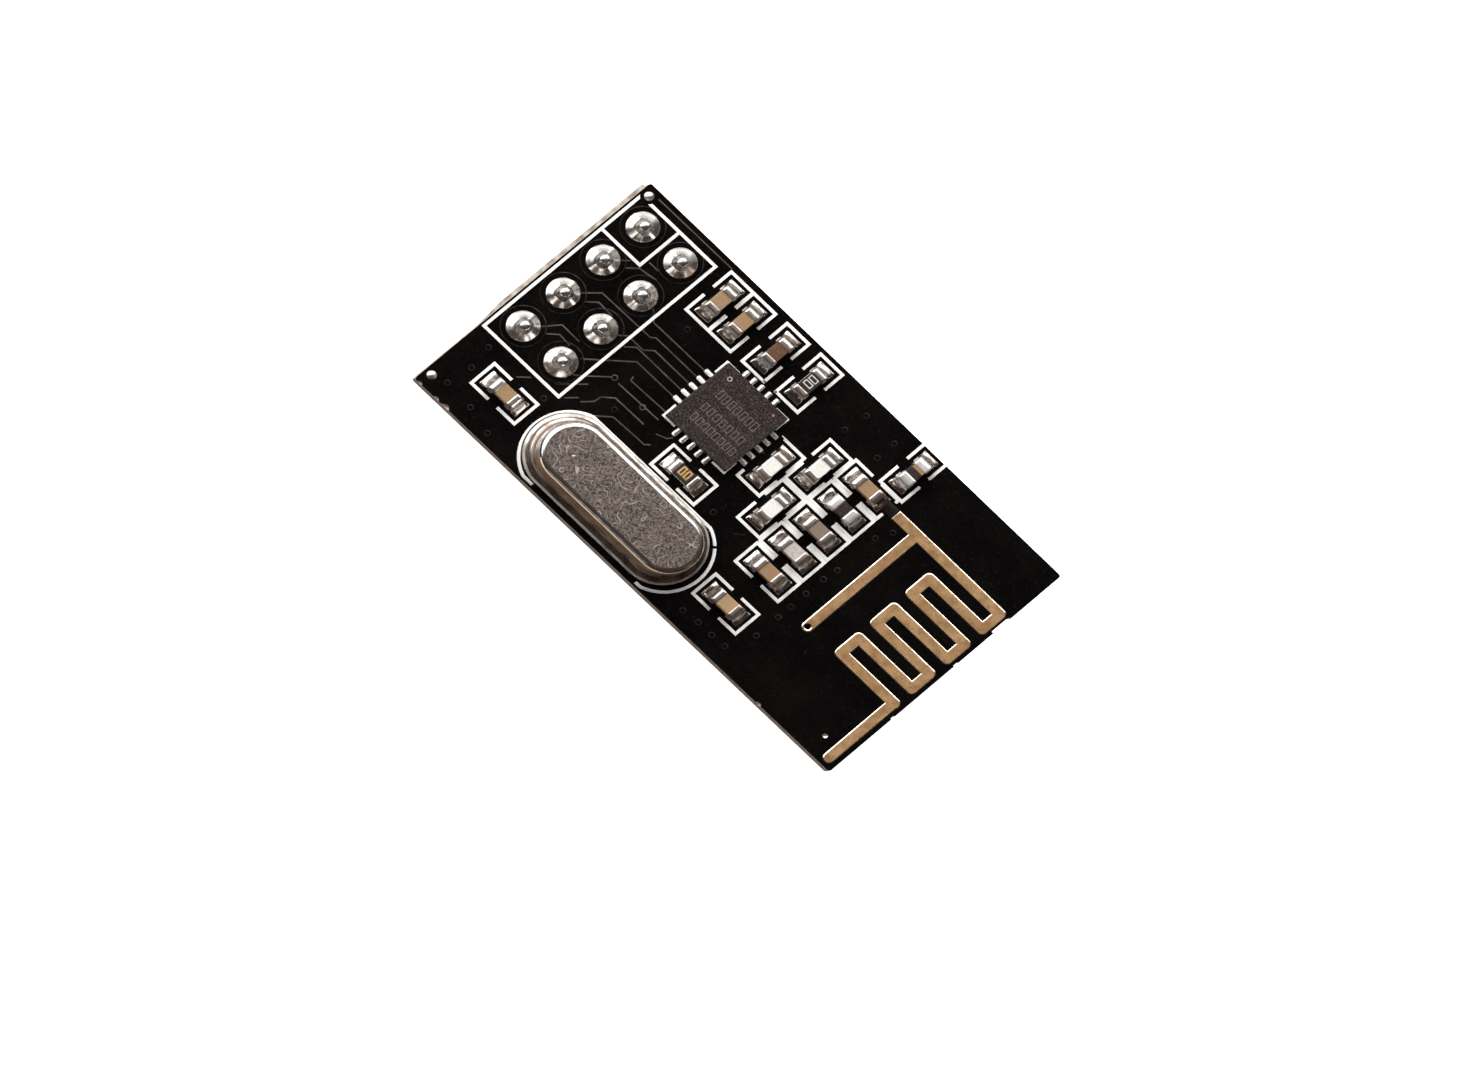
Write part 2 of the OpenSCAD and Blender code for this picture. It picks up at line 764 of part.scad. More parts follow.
module crystal_solder() {
    color("#dedbd8") on_board() difference() {
        for (p = lead_places()) translate([p.x, p.y, -board_t]) {
            cylinder(d = lead_hole_d, h = board_t);
            mirror([0, 0, 1])
                solder_cone(tail_joint_d, lead_d + 0.1, tail_joint_h, tail_joint_bow);
        }
        for (p = lead_places()) translate([p.x, p.y, -board_t - lead_tail - past])
            cylinder(d = lead_d, h = board_t + lead_tail + 2 * past);
    }
}

// Pin header

// Row of cells with notched corners, two pins to a cell
module housing_outline() {
    half = housing_w / 2;
    side = concat(
        [for (c = [0 : columns - 1]) for (k = [0 : 2])
            [half - (k == 0 ? cell_notch : 0),
             (c - columns / 2) * pitch + [0, cell_notch, pitch - cell_notch][k]]],
        [[half - cell_notch, columns / 2 * pitch]]);
    polygon(concat(side, [for (p = side) -p]));
}

// Square pin with a short point below and a long taper above, grown by skin at its sides
module pin_solid(i, skin = 0) {
    half = pin_w / 2 + skin;
    top = top_z + pin_above;
    profile = [[-half + pin_tip_in, -pin_below], [half - pin_tip_in, -pin_below],
               [half, pin_tip - pin_below], [half, top - pin_top_tip],
               [half - pin_top_in, top], [-half + pin_top_in, top],
               [-half, top - pin_top_tip], [-half, pin_tip - pin_below]];
    translate(pin_at(i)) intersection() {
        rotate([90, 0, 0]) linear_extrude(2 * half, center = true) polygon(profile);
        rotate([90, 0, 90]) linear_extrude(2 * half, center = true) polygon(profile);
    }
}

module header_pin(i) {
    color("#c8b98a") pin_solid(i);
}

module header_housing() {
    color("#17161a") linear_extrude(housing_h) difference() {
        housing_outline();
        for (p = pin_places()) translate(p) square(pin_w, center = true);
    }
}

// Film of solder that climbs a pin's upper taper
module pin_film(i) {
    intersection() {
        pin_solid(i, pin_film);
        translate([0, 0, top_z + copper_t]) linear_extrude(pin_above - film_short)
            translate(pin_at(i)) square(joint_top_d, center = true);
    }
}

module header_solder() {
    color("#dedbd8") difference() {
        union() {
            translate([0, 0, top_z]) for (p = pin_places()) translate(p) {
                translate([0, 0, -board_t]) cylinder(d = pin_hole_d, h = board_t + copper_t);
                translate([0, 0, copper_t])
                    solder_cone(joint_d, joint_top_d, joint_h - copper_t, joint_bow);
            }
            for (i = [1 : rows * columns]) pin_film(i);
        }
        for (i = [1 : rows * columns]) pin_solid(i);
    }
}

// Chip components

function body_colour(kind) =
    kind == "tan" ? "#b8935f" :
    kind == "brown" ? "#6d4d38" :
    kind == "white" ? "#e6e3df" :
    kind == "dark" ? "#453c39" :
    kind == "grey" ? "#8d8179" :
    kind == "pale" ? "#c9c3bf" : "#e3ddd2";

// Component's block, inset by skin all round; z = 0 is the face of its lands
module component_block(c, skin) {
    size = [comp_l, comp_w, comp_height(c)] - 2 * skin * [1, 1, 1];
    translate([-size.x / 2, -size.y / 2, skin]) cube(size);
}

module chip_body(c) {
    color(body_colour(c[KIND])) on_board() translate([0, 0, copper_t])
        at_component(c) component_block(c, end_t);
}

module chip_ends() {
    color("#cfccc9") on_board() translate([0, 0, copper_t]) for (c = CHIPS) at_component(c)
        difference() {
            component_block(c, 0);
            component_block(c, end_t);
            translate([comp_end(c) - comp_l / 2, -comp_w, -past])
                cube([comp_l - 2 * comp_end(c), 2 * comp_w, comp_height(c) + 2 * past]);
        }
}

// Dark overcoat on top of the resistors, between their ends
module resistor_coats() {
    color("#211d1d") on_board() for (c = CHIPS) if (c[KIND] == "resistor")
        at_component(c) translate([0, 0, copper_t + resistor_h - end_t])
            linear_extrude(end_t)
                square([comp_l - 2 * resistor_end_l, comp_w - 2 * end_t], center = true);
}

module chip_solder() {
    color("#dedbd8") on_board() translate([0, 0, copper_t]) for (c = CHIPS) for (s = [0, 180])
        at_component(c) rotate(s) translate([comp_l / 2, comp_land_w / 2, 0]) rotate([90, 0, 0])
            linear_extrude(comp_land_w)
                concave_wedge(fillet_l, fillet_rise * comp_height(c), fillet_bow);
}

circuit_board();
component_lands();
signal_traces();
antenna_strip();
legend_print();
tinned_holes();
radio_chip();
radio_chip_terminals();
radio_chip_solder();
crystal_cover();
crystal_base();
crystal_seals();
crystal_leads();
crystal_clips();
quartz_blank();
crystal_solder();
header_housing();
header_solder();
resistor_coats();
chip_ends();
chip_solder();
for (i = [1 : rows * columns])
    header_pin(i);
for (c = CHIPS) chip_body(c);
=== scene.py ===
"""Looks of the plug-in wireless transceiver module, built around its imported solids."""

import contextlib
import math

import bmesh
import bpy
import numpy as np
from mathutils import Matrix, Vector


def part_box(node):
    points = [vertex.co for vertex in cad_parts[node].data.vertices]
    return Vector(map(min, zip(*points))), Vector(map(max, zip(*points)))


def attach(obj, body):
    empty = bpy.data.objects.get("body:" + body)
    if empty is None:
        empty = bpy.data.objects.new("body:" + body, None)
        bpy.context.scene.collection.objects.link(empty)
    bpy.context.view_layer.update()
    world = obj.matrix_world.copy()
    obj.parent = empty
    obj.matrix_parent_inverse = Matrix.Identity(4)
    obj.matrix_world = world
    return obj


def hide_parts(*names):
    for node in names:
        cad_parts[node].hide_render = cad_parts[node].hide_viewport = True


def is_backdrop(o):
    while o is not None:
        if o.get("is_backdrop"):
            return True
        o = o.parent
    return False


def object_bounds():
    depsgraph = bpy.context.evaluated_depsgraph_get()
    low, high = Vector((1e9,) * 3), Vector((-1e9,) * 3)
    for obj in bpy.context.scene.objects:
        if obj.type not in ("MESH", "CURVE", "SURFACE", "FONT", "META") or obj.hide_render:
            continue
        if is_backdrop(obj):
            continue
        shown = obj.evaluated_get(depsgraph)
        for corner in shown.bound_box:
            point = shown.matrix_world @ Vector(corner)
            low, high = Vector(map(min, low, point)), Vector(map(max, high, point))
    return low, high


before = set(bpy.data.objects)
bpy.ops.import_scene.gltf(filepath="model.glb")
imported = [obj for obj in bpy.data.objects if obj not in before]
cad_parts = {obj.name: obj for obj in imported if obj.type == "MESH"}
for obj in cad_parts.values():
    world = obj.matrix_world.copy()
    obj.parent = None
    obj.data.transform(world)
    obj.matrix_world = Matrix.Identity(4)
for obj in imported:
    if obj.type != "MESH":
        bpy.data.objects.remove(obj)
cad_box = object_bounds()


# Circuit board
# Two-sided glass-fibre laminate under black solder mask. Its long sides are routed, and
# the header end was snapped off a scored panel, so the raw laminate shows on the edges.
# Mask also closes the foot of the hole at the end of the antenna's stub.
MM = 0.001
board_low, board_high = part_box("circuit_board")
board_edge_round = 0.03 * MM
mask_black = "#060505"
mask_brown = "#0d0b0a"
mask_dust = "#241e1b"
laminate_pale = "#c2b9b1"
laminate_dark = "#80746a"
routed_pale = "#86725f"
routed_dark = "#4e4035"
# How much a pattern is squeezed along X, Y and Z, to lie in layers
glass_layers = (1, 1, 6)
masked, snapped, routed = range(3)
flat_tilt = 0.9
routed_tilt = 0.7
mask_reach = 0.01 * MM
stub_end = Vector((19.1, -4.87)) * MM
hole_reach = 0.25 * MM
foot_r = 0.17 * MM
foot_t = 0.3 * MM
foot_turns = 24
weld_reach = 0.0001 * MM
same_plane = math.radians(0.5)
edge_angle = math.radians(35)
# Sockets of a colour mix, by number because their names repeat
mix_amount, mix_first, mix_second, mix_result = 0, 6, 7, 2


def linear(hex_colour):
    """An sRGB hex colour as the linear red, green, blue and alpha that shaders take."""
    parts = [int(hex_colour[i:i + 2], 16) / 255 for i in (1, 3, 5)]
    return tuple(p / 12.92 if p < 0.04045 else ((p + 0.055) / 1.055) ** 2.4 for p in parts) + (1,)


def add(tree, kind, inputs=None, **settings):
    """Adds a node with its settings; an input is a value, a hex colour or a socket to link."""
    node = tree.nodes.new(kind)
    for name, value in settings.items():
        setattr(node, name, value)
    for key, value in (inputs or {}).items():
        if isinstance(value, bpy.types.NodeSocket):
            tree.links.new(value, node.inputs[key])
        elif isinstance(value, str) and value.startswith("#"):
            node.inputs[key].default_value = linear(value)
        else:
            node.inputs[key].default_value = value
    return node


def new_finish(name):
    """An empty material, with its node tree and its Object coordinates."""
    finish = bpy.data.materials.new(name)
    finish.use_nodes = True
    tree = finish.node_tree
    tree.nodes.clear()
    place = add(tree, "ShaderNodeTexCoord").outputs["Object"]
    return finish, tree, place


def blotches(tree, place, size_mm, low, high, detail=2.0):
    """A 0 to 1 pattern of blotches about size_mm wide, spread between two noise levels."""
    noise = add(tree, "ShaderNodeTexNoise",
                {"Vector": place, "Scale": 1 / (size_mm * MM), "Detail": detail})
    return add(tree, "ShaderNodeMapRange",
               {"Value": noise.outputs["Fac"], "From Min": low, "From Max": high}).outputs[0]


def build_up(tree, ground, layers, grain, smooth, rough, relief_mm=0, dents=None, metal=0.0, gloss=0.5):
    """Ends a material: a ground colour under layers that each follow a pattern, roughness
    that follows the grain, and relief from the dents or the grain. Gives its shader."""
    colour = ground
    for pattern, layer in layers:
        colour = add(tree, "ShaderNodeMix", {mix_amount: pattern, mix_first: colour, mix_second: layer},
                     data_type="RGBA").outputs[mix_result]
    shine = add(tree, "ShaderNodeMapRange", {"Value": grain, "To Min": smooth, "To Max": rough})
    shader = add(tree, "ShaderNodeBsdfPrincipled", {
        "Base Color": colour, "Metallic": metal, "Roughness": shine.outputs[0], "Specular IOR Level": gloss})
    if relief_mm:
        dents = grain if dents is None else dents
        bump = add(tree, "ShaderNodeBump", {"Height": dents, "Distance": relief_mm * MM})
        tree.links.new(bump.outputs["Normal"], shader.inputs["Normal"])
    add(tree, "ShaderNodeOutputMaterial", {"Surface": shader.outputs["BSDF"]})
    return shader


def solder_mask():
    # Cured black ink over copper: a dark satin skin, a little brown where it is thin,
    # with the glass weave and fine dust just showing.
    finish, tree, place = new_finish("black_solder_mask")
    thin = blotches(tree, place, size_mm=2.2, low=0.4, high=0.7)
    dust = blotches(tree, place, size_mm=0.12, low=0.66, high=0.74, detail=3)
    weave = blotches(tree, place, size_mm=0.25, low=0.3, high=0.7)
    build_up(tree, mask_black, [(thin, mask_brown), (dust, mask_dust)], weave,
             smooth=0.2, rough=0.3, relief_mm=0.002, gloss=0.1)
    return finish


def raw_laminate(name, dark, pale):
    # Cut glass-fibre board: pale matt resin with darker glass layers that run along the edge.
    finish, tree, place = new_finish(name)
    layered = add(tree, "ShaderNodeMapping", {"Vector": place, "Scale": glass_layers}).outputs[0]
    fibres = blotches(tree, layered, size_mm=0.45, low=0.35, high=0.65, detail=4)
    build_up(tree, dark, [(fibres, pale)], fibres, smooth=0.75, rough=0.75, relief_mm=0.02)
    return finish


@contextlib.contextmanager
def reshaping(mesh):
    """Opens a mesh for changes to its points and faces, and writes them back."""
    shape = bmesh.new()
    shape.from_mesh(mesh)
    yield shape
    shape.to_mesh(mesh)
    shape.free()


def merged_copy(node, finish_of=None):
    """A copy of a solid's mesh with its loose triangles joined into whole faces of one finish."""
    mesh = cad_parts[node].data.copy()
    with reshaping(mesh) as shape:
        bmesh.ops.remove_doubles(shape, verts=shape.verts, dist=weld_reach)
        for face in shape.faces:
            face.material_index = finish_of(face) if finish_of else 0
        bmesh.ops.dissolve_limit(shape, angle_limit=same_plane, verts=shape.verts,
                                 edges=shape.edges, delimit={"MATERIAL"})
    return mesh


def place_piece(name, mesh, finishes, node):
    """A piece of the module in these finishes, standing for the solid named."""
    piece = bpy.data.objects.new(name, mesh)
    bpy.context.scene.collection.objects.link(piece)
    finish_slots = [face.material_index for face in mesh.polygons]
    mesh.materials.clear()
    for finish in finishes:
        mesh.materials.append(finish)
    mesh.polygons.foreach_set("material_index", finish_slots)
    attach(piece, "root")
    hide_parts(node)
    return piece


def soften(piece, width, segments=2):
    """Rounds a piece's edges, as moulding, etching or handling leaves them."""
    piece.data.shade_smooth()
    bevel = piece.modifiers.new("worn_edges", "BEVEL")
    bevel.width = width
    bevel.segments = segments
    bevel.limit_method = "ANGLE"
    bevel.angle_limit = edge_angle
    bevel.harden_normals = True


def board_finish(face):
    """Which finish a face has: the faces and the stub's hole are masked, the edges raw."""
    in_hole = max((vert.co.xy - stub_end).length for vert in face.verts) < hole_reach
    off_mask = min(abs(face.verts[0].co.z - z) for z in (board_low.z, board_high.z))
    if in_hole or abs(face.normal.z) > flat_tilt and off_mask < mask_reach:
        return masked
    return routed if abs(face.normal.y) > routed_tilt else snapped


board_mesh = merged_copy("circuit_board", board_finish)
foot_place = Matrix.Translation((*stub_end, board_low.z + foot_t / 2))
with reshaping(board_mesh) as board:
    bmesh.ops.create_cone(board, cap_ends=True, segments=foot_turns, radius1=foot_r, radius2=foot_r,
                          depth=foot_t, matrix=foot_place)
board_finishes = [solder_mask(), raw_laminate("snapped_glass_laminate", laminate_dark, laminate_pale),
                  raw_laminate("routed_glass_laminate", routed_dark, routed_pale)]
masked_board = place_piece("masked_board", board_mesh, board_finishes, "circuit_board")
soften(masked_board, board_edge_round)
for face in board_mesh.polygons:
    face.use_smooth = False


# Lands
# Copper pads etched on the board and levelled with hot tin. Every part that is soldered
# to the top of the board stands on them.
tin_bright = "#e4e0db"
tin_dull = "#8f867e"
dent_share = 0.6


def tinned(name, bright, dull, grain_mm, smooth, rough, relief_mm):
    # Tin, solder and freshly etched copper: a bright metal with soft dents and duller patches.
    finish, tree, place = new_finish(name)
    patches = blotches(tree, place, size_mm=grain_mm, low=0.42, high=0.68, detail=3)
    dents = blotches(tree, place, size_mm=grain_mm * dent_share, low=0.25, high=0.75)
    build_up(tree, bright, [(patches, dull)], patches, smooth, rough, relief_mm, dents, metal=1.0)
    return finish


def dress(node, finish):
    """Gives a solid that keeps its own shape its finish."""
    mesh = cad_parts[node].data
    mesh.materials.clear()
    mesh.materials.append(finish)


tin_plate = tinned("hot_tin_plate", tin_bright, tin_dull, grain_mm=0.4, smooth=0.25, rough=0.45,
                   relief_mm=0.004)
dress("component_lands", tin_plate)


# Traces and via rings
# Etched copper lines that run under the mask, where they show as fine brown ridges. The
# vias, the rings round the joints and the antenna's feed lie under thicker mask.
trace_brown = "#55463f"
trace_dark = "#382e29"
hidden_brown = "#231c19"
hidden_dark = "#14100f"
trace_round = 0.012 * MM
via_reach = 0.45 * MM
joint_ring_reach = (0.95 * MM, 1.2 * MM)
feed_reach = 0.8 * MM
antenna_low, antenna_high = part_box("antenna_strip")
pin_count = 8
thin_mask, thick_mask = range(2)


def masked_copper(name, dark, brown, gloss):
    # Copper seen through thin black ink: a brown sheen along the ridge.
    finish, tree, place = new_finish(name)
    thin = blotches(tree, place, size_mm=0.9, low=0.3, high=0.7)
    build_up(tree, dark, [(thin, brown)], thin, smooth=0.25, rough=0.4, gloss=gloss)
    return finish


def small_islands(mesh, reach):
    """Faces of the mesh's loose parts that are no wider than reach."""
    shape = bmesh.new()
    shape.from_mesh(mesh)
    shape.faces.ensure_lookup_table()
    seen, small = set(), set()
    for start in shape.faces:
        if start.index in seen:
            continue
        island, waiting = {start}, [start]
        while waiting:
            near = {face for edge in waiting.pop().edges for face in edge.link_faces} - island
            island |= near
            waiting.extend(near)
        seen |= {face.index for face in island}
        xs = [vert.co.x for face in island for vert in face.verts]
        if max(xs) - min(xs) < reach:
            small |= {face.index for face in island}
    shape.free()
    return small


def trace_finish(face):
    """Which finish a triangle has: a joint's ring and the antenna's feed lie deeper."""
    off_pin = [min((vert.co - middle).xy.length for middle in pin_middles) for vert in face.verts]
    on_ring = joint_ring_reach[0] < min(off_pin) and max(off_pin) < joint_ring_reach[1]
    on_feed = antenna_low.x - feed_reach < min(vert.co.x for vert in face.verts)
    return thick_mask if on_ring or on_feed else thin_mask


pin_nodes = [f"header_pin_{number}" for number in range(1, pin_count + 1)]
pin_middles = [sum(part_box(node), Vector()) / 2 for node in pin_nodes]
trace_mesh = merged_copy("signal_traces", trace_finish)
trace_finishes = [masked_copper("copper_under_mask", trace_dark, trace_brown, gloss=0.5),
                  masked_copper("copper_under_thick_mask", hidden_dark, hidden_brown, gloss=0.2)]
traces = place_piece("masked_traces", trace_mesh, trace_finishes, "signal_traces")
for index in small_islands(trace_mesh, via_reach):
    trace_mesh.polygons[index].material_index = thick_mask
soften(traces, trace_round)


# Antenna
# A copper strip etched as a meander with a shorted stub, left bare of mask and lightly
# tarnished, so that it looks like matt tan metal with bright etched edges.
copper_tan = "#9a764d"
copper_light = "#ba946a"
copper_fleck = "#6d563f"
etched_light = "#f2e8da"
etched_tan = "#cdb598"
etch_w = 0.048 * MM
etch_drop = 0.022 * MM
etch_tilts = (0.5, 0.99)


def bare_copper():
    # Tarnished copper foil: a cloudy matt tan with dark flecks and a fine grain.
    finish, tree, place = new_finish("tarnished_bare_copper")
    cloud = blotches(tree, place, size_mm=0.5, low=0.35, high=0.65, detail=4)
    fleck = blotches(tree, place, size_mm=0.09, low=0.62, high=0.72)
    grain = blotches(tree, place, size_mm=0.05, low=0.3, high=0.7, detail=1)
    build_up(tree, copper_tan, [(cloud, copper_light), (fleck, copper_fleck)], grain,
             smooth=0.42, rough=0.6, relief_mm=0.002, metal=0.45)
    return finish


antenna_mesh = merged_copy("antenna_strip")
with reshaping(antenna_mesh) as strip:
    strip_top = [face for face in strip.faces if face.normal.z > flat_tilt]
    bmesh.ops.inset_region(strip, faces=strip_top, thickness=etch_w, use_boundary=True)
    inner = {vert for face in strip_top for vert in face.verts}
    for vert in strip.verts:
        if vert.co.z > antenna_high.z - etch_drop / 2 and vert not in inner:
            vert.co.z -= etch_drop
etched_edge = tinned("etched_copper_shoulder", etched_light, etched_tan, grain_mm=0.2, smooth=0.2,
                     rough=0.35, relief_mm=0.001)
place_piece("etched_antenna", antenna_mesh, [bare_copper(), etched_edge], "antenna_strip")
for face in antenna_mesh.polygons:
    face.material_index = int(etch_tilts[0] < face.normal.z < etch_tilts[1])


# Legend
# White epoxy ink screened over the mask: brackets round the parts, the header's frame
# and the crystal's outline. The ink edges are soft, and the ink has run on where brackets
# of the match column meet and where two brackets pass close to the radio chip's lands.
ink_white = "#f6f4f1"
ink_thin = "#dcd7d3"
ink_round = 0.014 * MM
closed_rows_mm = (1.275, -0.315, -1.905, -3.495)
closed_spans_mm = ((14.3, 15.44), (16.06, 17.26))
closed_w_mm = 0.07
# West, south, east and north ends of the runs beside the radio chip
chip_side_runs_mm = [(7.2, 2.345, 8.49, 2.495), (8.335, 2.4, 8.485, 2.6),
                     (9.1, 2.39, 10.0, 2.54), (9.085, 2.4, 9.235, 2.7)]
run_t_mm = 0.09
run_sink_mm = 0.012


def white_ink():
    # Screened epoxy ink: a chalky white, a little grey where the mask shows through.
    finish, tree, place = new_finish("screened_white_ink")
    thin = blotches(tree, place, size_mm=0.7, low=0.55, high=0.8, detail=3)
    grain = blotches(tree, place, size_mm=0.06, low=0.3, high=0.7, detail=1)
    build_up(tree, ink_white, [(thin, ink_thin)], grain, smooth=0.5, rough=0.65, relief_mm=0.002)
    return finish


legend_mesh = merged_copy("legend_print")
legend_top = Vector((0, 0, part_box("legend_print")[1].z))
ink_runs_mm = [(start, row - closed_w_mm / 2, stop, row + closed_w_mm / 2)
               for row in closed_rows_mm for start, stop in closed_spans_mm]
with reshaping(legend_mesh) as ink:
    for west, south, east, north in ink_runs_mm + chip_side_runs_mm:
        middle = Vector(((west + east) / 2, (south + north) / 2, -run_sink_mm - run_t_mm / 2)) * MM
        size = Matrix.Diagonal(((east - west) * MM, (north - south) * MM, run_t_mm * MM, 1))
        bmesh.ops.create_cube(ink, size=1, matrix=Matrix.Translation(middle + legend_top) @ size)
legend = place_piece("screened_legend", legend_mesh, [white_ink()], "legend_print")
soften(legend, ink_round)


# Tin-filled holes
# Two tooling holes at the header end and a small one by the antenna's tip, filled with
# tin that stands in a low dome over the first two and sinks to a dish in the small one.
fill_bright = "#f2efec"
fill_dull = "#cdc6c0"
board_half_x = (board_low.x + board_high.x) / 2
crease_angle = math.radians(50)
tin_fill = tinned("hole_tin", fill_bright, fill_dull, grain_mm=0.2, smooth=0.36, rough=0.46, relief_mm=0.002)
tin_mesh = merged_copy("tinned_holes")
for vert in tin_mesh.vertices:
    if vert.co.x > board_half_x:
        vert.co.z = min(vert.co.z, 2 * board_high.z - vert.co.z)
tin_mesh.shade_smooth()
tin_mesh.set_sharp_from_angle(angle=crease_angle)
place_piece("tin_filled_holes", tin_mesh, [tin_fill], "tinned_holes")


# Pin header housing
# Black glass-filled polyester moulded as a row of notched cells, two pins to a cell. It
# stands under the board and holds the pins straight.
housing_black = "#151317"
housing_grey = "#2a272b"
housing_round = 0.06 * MM
housing_steps = 3
grain_share = 0.7


def moulded(name, base, fleck, fleck_mm, smooth, rough, relief_mm, gloss=0.5):
    # Filled plastic or fired ceramic: matt, with a fine grain and flecks of another shade.
    # The flecks are drawn a little coarse, so that they show.
    finish, tree, place = new_finish(name)
    flecks = blotches(tree, place, size_mm=fleck_mm, low=0.5, high=0.62)
    grain = blotches(tree, place, size_mm=fleck_mm * grain_share, low=0.3, high=0.7, detail=1)
    build_up(tree, base, [(flecks, fleck)], grain, smooth, rough, relief_mm, gloss=gloss)
    return finish


polyester = moulded("glass_filled_polyester", housing_black, housing_grey, fleck_mm=0.12,
                    smooth=0.4, rough=0.6, relief_mm=0.004)
housing = place_piece("moulded_housing", merged_copy("header_housing"), [polyester],
                      "header_housing")
soften(housing, housing_round, housing_steps)


# Header pins
# Square brass wire, gold flashed, cut to length and coined to a point at both ends. The
# housing grips them, and their upper ends go through the board.
gold_light = "#d9c184"
gold_dark = "#b0935a"
wire_lines = (1, 1, 0.06)
pin_round = 0.06 * MM


def gold_flash():
    # A thin gold wash over nickel: pale yellow metal with faint drawing lines.
    finish, tree, place = new_finish("gold_flashed_brass")
    drawn = add(tree, "ShaderNodeMapping", {"Vector": place, "Scale": wire_lines}).outputs[0]
    lines = blotches(tree, drawn, size_mm=0.07, low=0.3, high=0.7)
    build_up(tree, gold_light, [(lines, gold_dark)], lines, smooth=0.18, rough=0.34,
             relief_mm=0.002, metal=0.75)
    return finish


pin_gold = gold_flash()
for number, node in enumerate(pin_nodes, 1):
    pin = place_piece(f"gold_pin_{number}", merged_copy(node), [pin_gold], node)
    soften(pin, pin_round)


# Solder joints of the pins
# Tin-lead solder drawn up each pin by hand: a low cone with a hollow flank, a steep
# collar at the pin and a round nub over the pin's tip.
solder_bright = "#f2efec"
solder_dull = "#d9d2cc"
land_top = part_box("component_lands")[1].z
# Radius and height in millimetres, and squareness: 2 is round, 4 nearly as square as the pin
flank_mm = [(0.8, 0, 2), (0.785, 0.018, 2), (0.75, 0.045, 2), (0.7, 0.08, 2), (0.63, 0.13, 2),
            (0.56, 0.182, 2), (0.5, 0.228, 2.1), (0.44, 0.275, 2.3), (0.395, 0.32, 2.6)]
post_mm = [(0.36, 0.38, 3), (0.335, 0.46, 3.5), (0.32, 0.56, 4), (0.305, 0.7, 4), (0.285, 0.84, 3.5)]
tip_mm = [(0.265, 0.97, 3), (0.252, 1.06, 2.6), (0.22, 1.12, 2.3), (0.15, 1.16, 2), (0.07, 1.18, 2)]
joint_turns = 72
# Count, depth as a share of the radius, and starting angle of the flutes in the flank
joint_flutes = [(5, 0.011, 0.6), (9, 0.006, 2.0)]
# Height, width and seed of the random ripple in a surface
joint_ripple = (0.005 * MM, 0.5 * MM, 3.0)
right_angle = math.pi / 2
as_drawn = (1, 1, 1)


def join_rings(shape, rings):
    """Faces between each closed ring of points and the next one; gives the faces."""
    faces = []
    for lower, upper in zip(rings, rings[1:]):
        for k in range(len(lower)):
            after = (k + 1) % len(lower)
            faces.append(shape.faces.new((lower[k], lower[after], upper[after], upper[k])))
    return faces


def finished_mesh(shape, name):
    """Turns a shape that is done into a mesh."""
    mesh = bpy.data.meshes.new(name)
    shape.to_mesh(mesh)
    shape.free()
    return mesh


def turned(profile_mm, turns):
    """A closed solid about Z from rings of radius, height and squareness, lowest first."""
    shape = bmesh.new()
    rings = []
    for radius, height, power in profile_mm:
        ring = []
        for k in range(turns):
            a = 2 * math.pi * k / turns
            round_off = (abs(math.cos(a)) ** power + abs(math.sin(a)) ** power) ** (-1 / power)
            flute = sum(depth * math.sin(count * a + start) for count, depth, start in joint_flutes)
            reach = radius * MM * round_off * (1 + flute)
            ring.append(shape.verts.new((reach * math.cos(a), reach * math.sin(a), height * MM)))
        rings.append(ring)
    join_rings(shape, rings)
    shape.faces.new(reversed(rings[0]))
    tip = shape.verts.new((0, 0, profile_mm[-1][1] * MM))
    for k in range(turns):
        shape.faces.new((rings[-1][k], rings[-1][(k + 1) % turns], tip))
    return finished_mesh(shape, "turned")


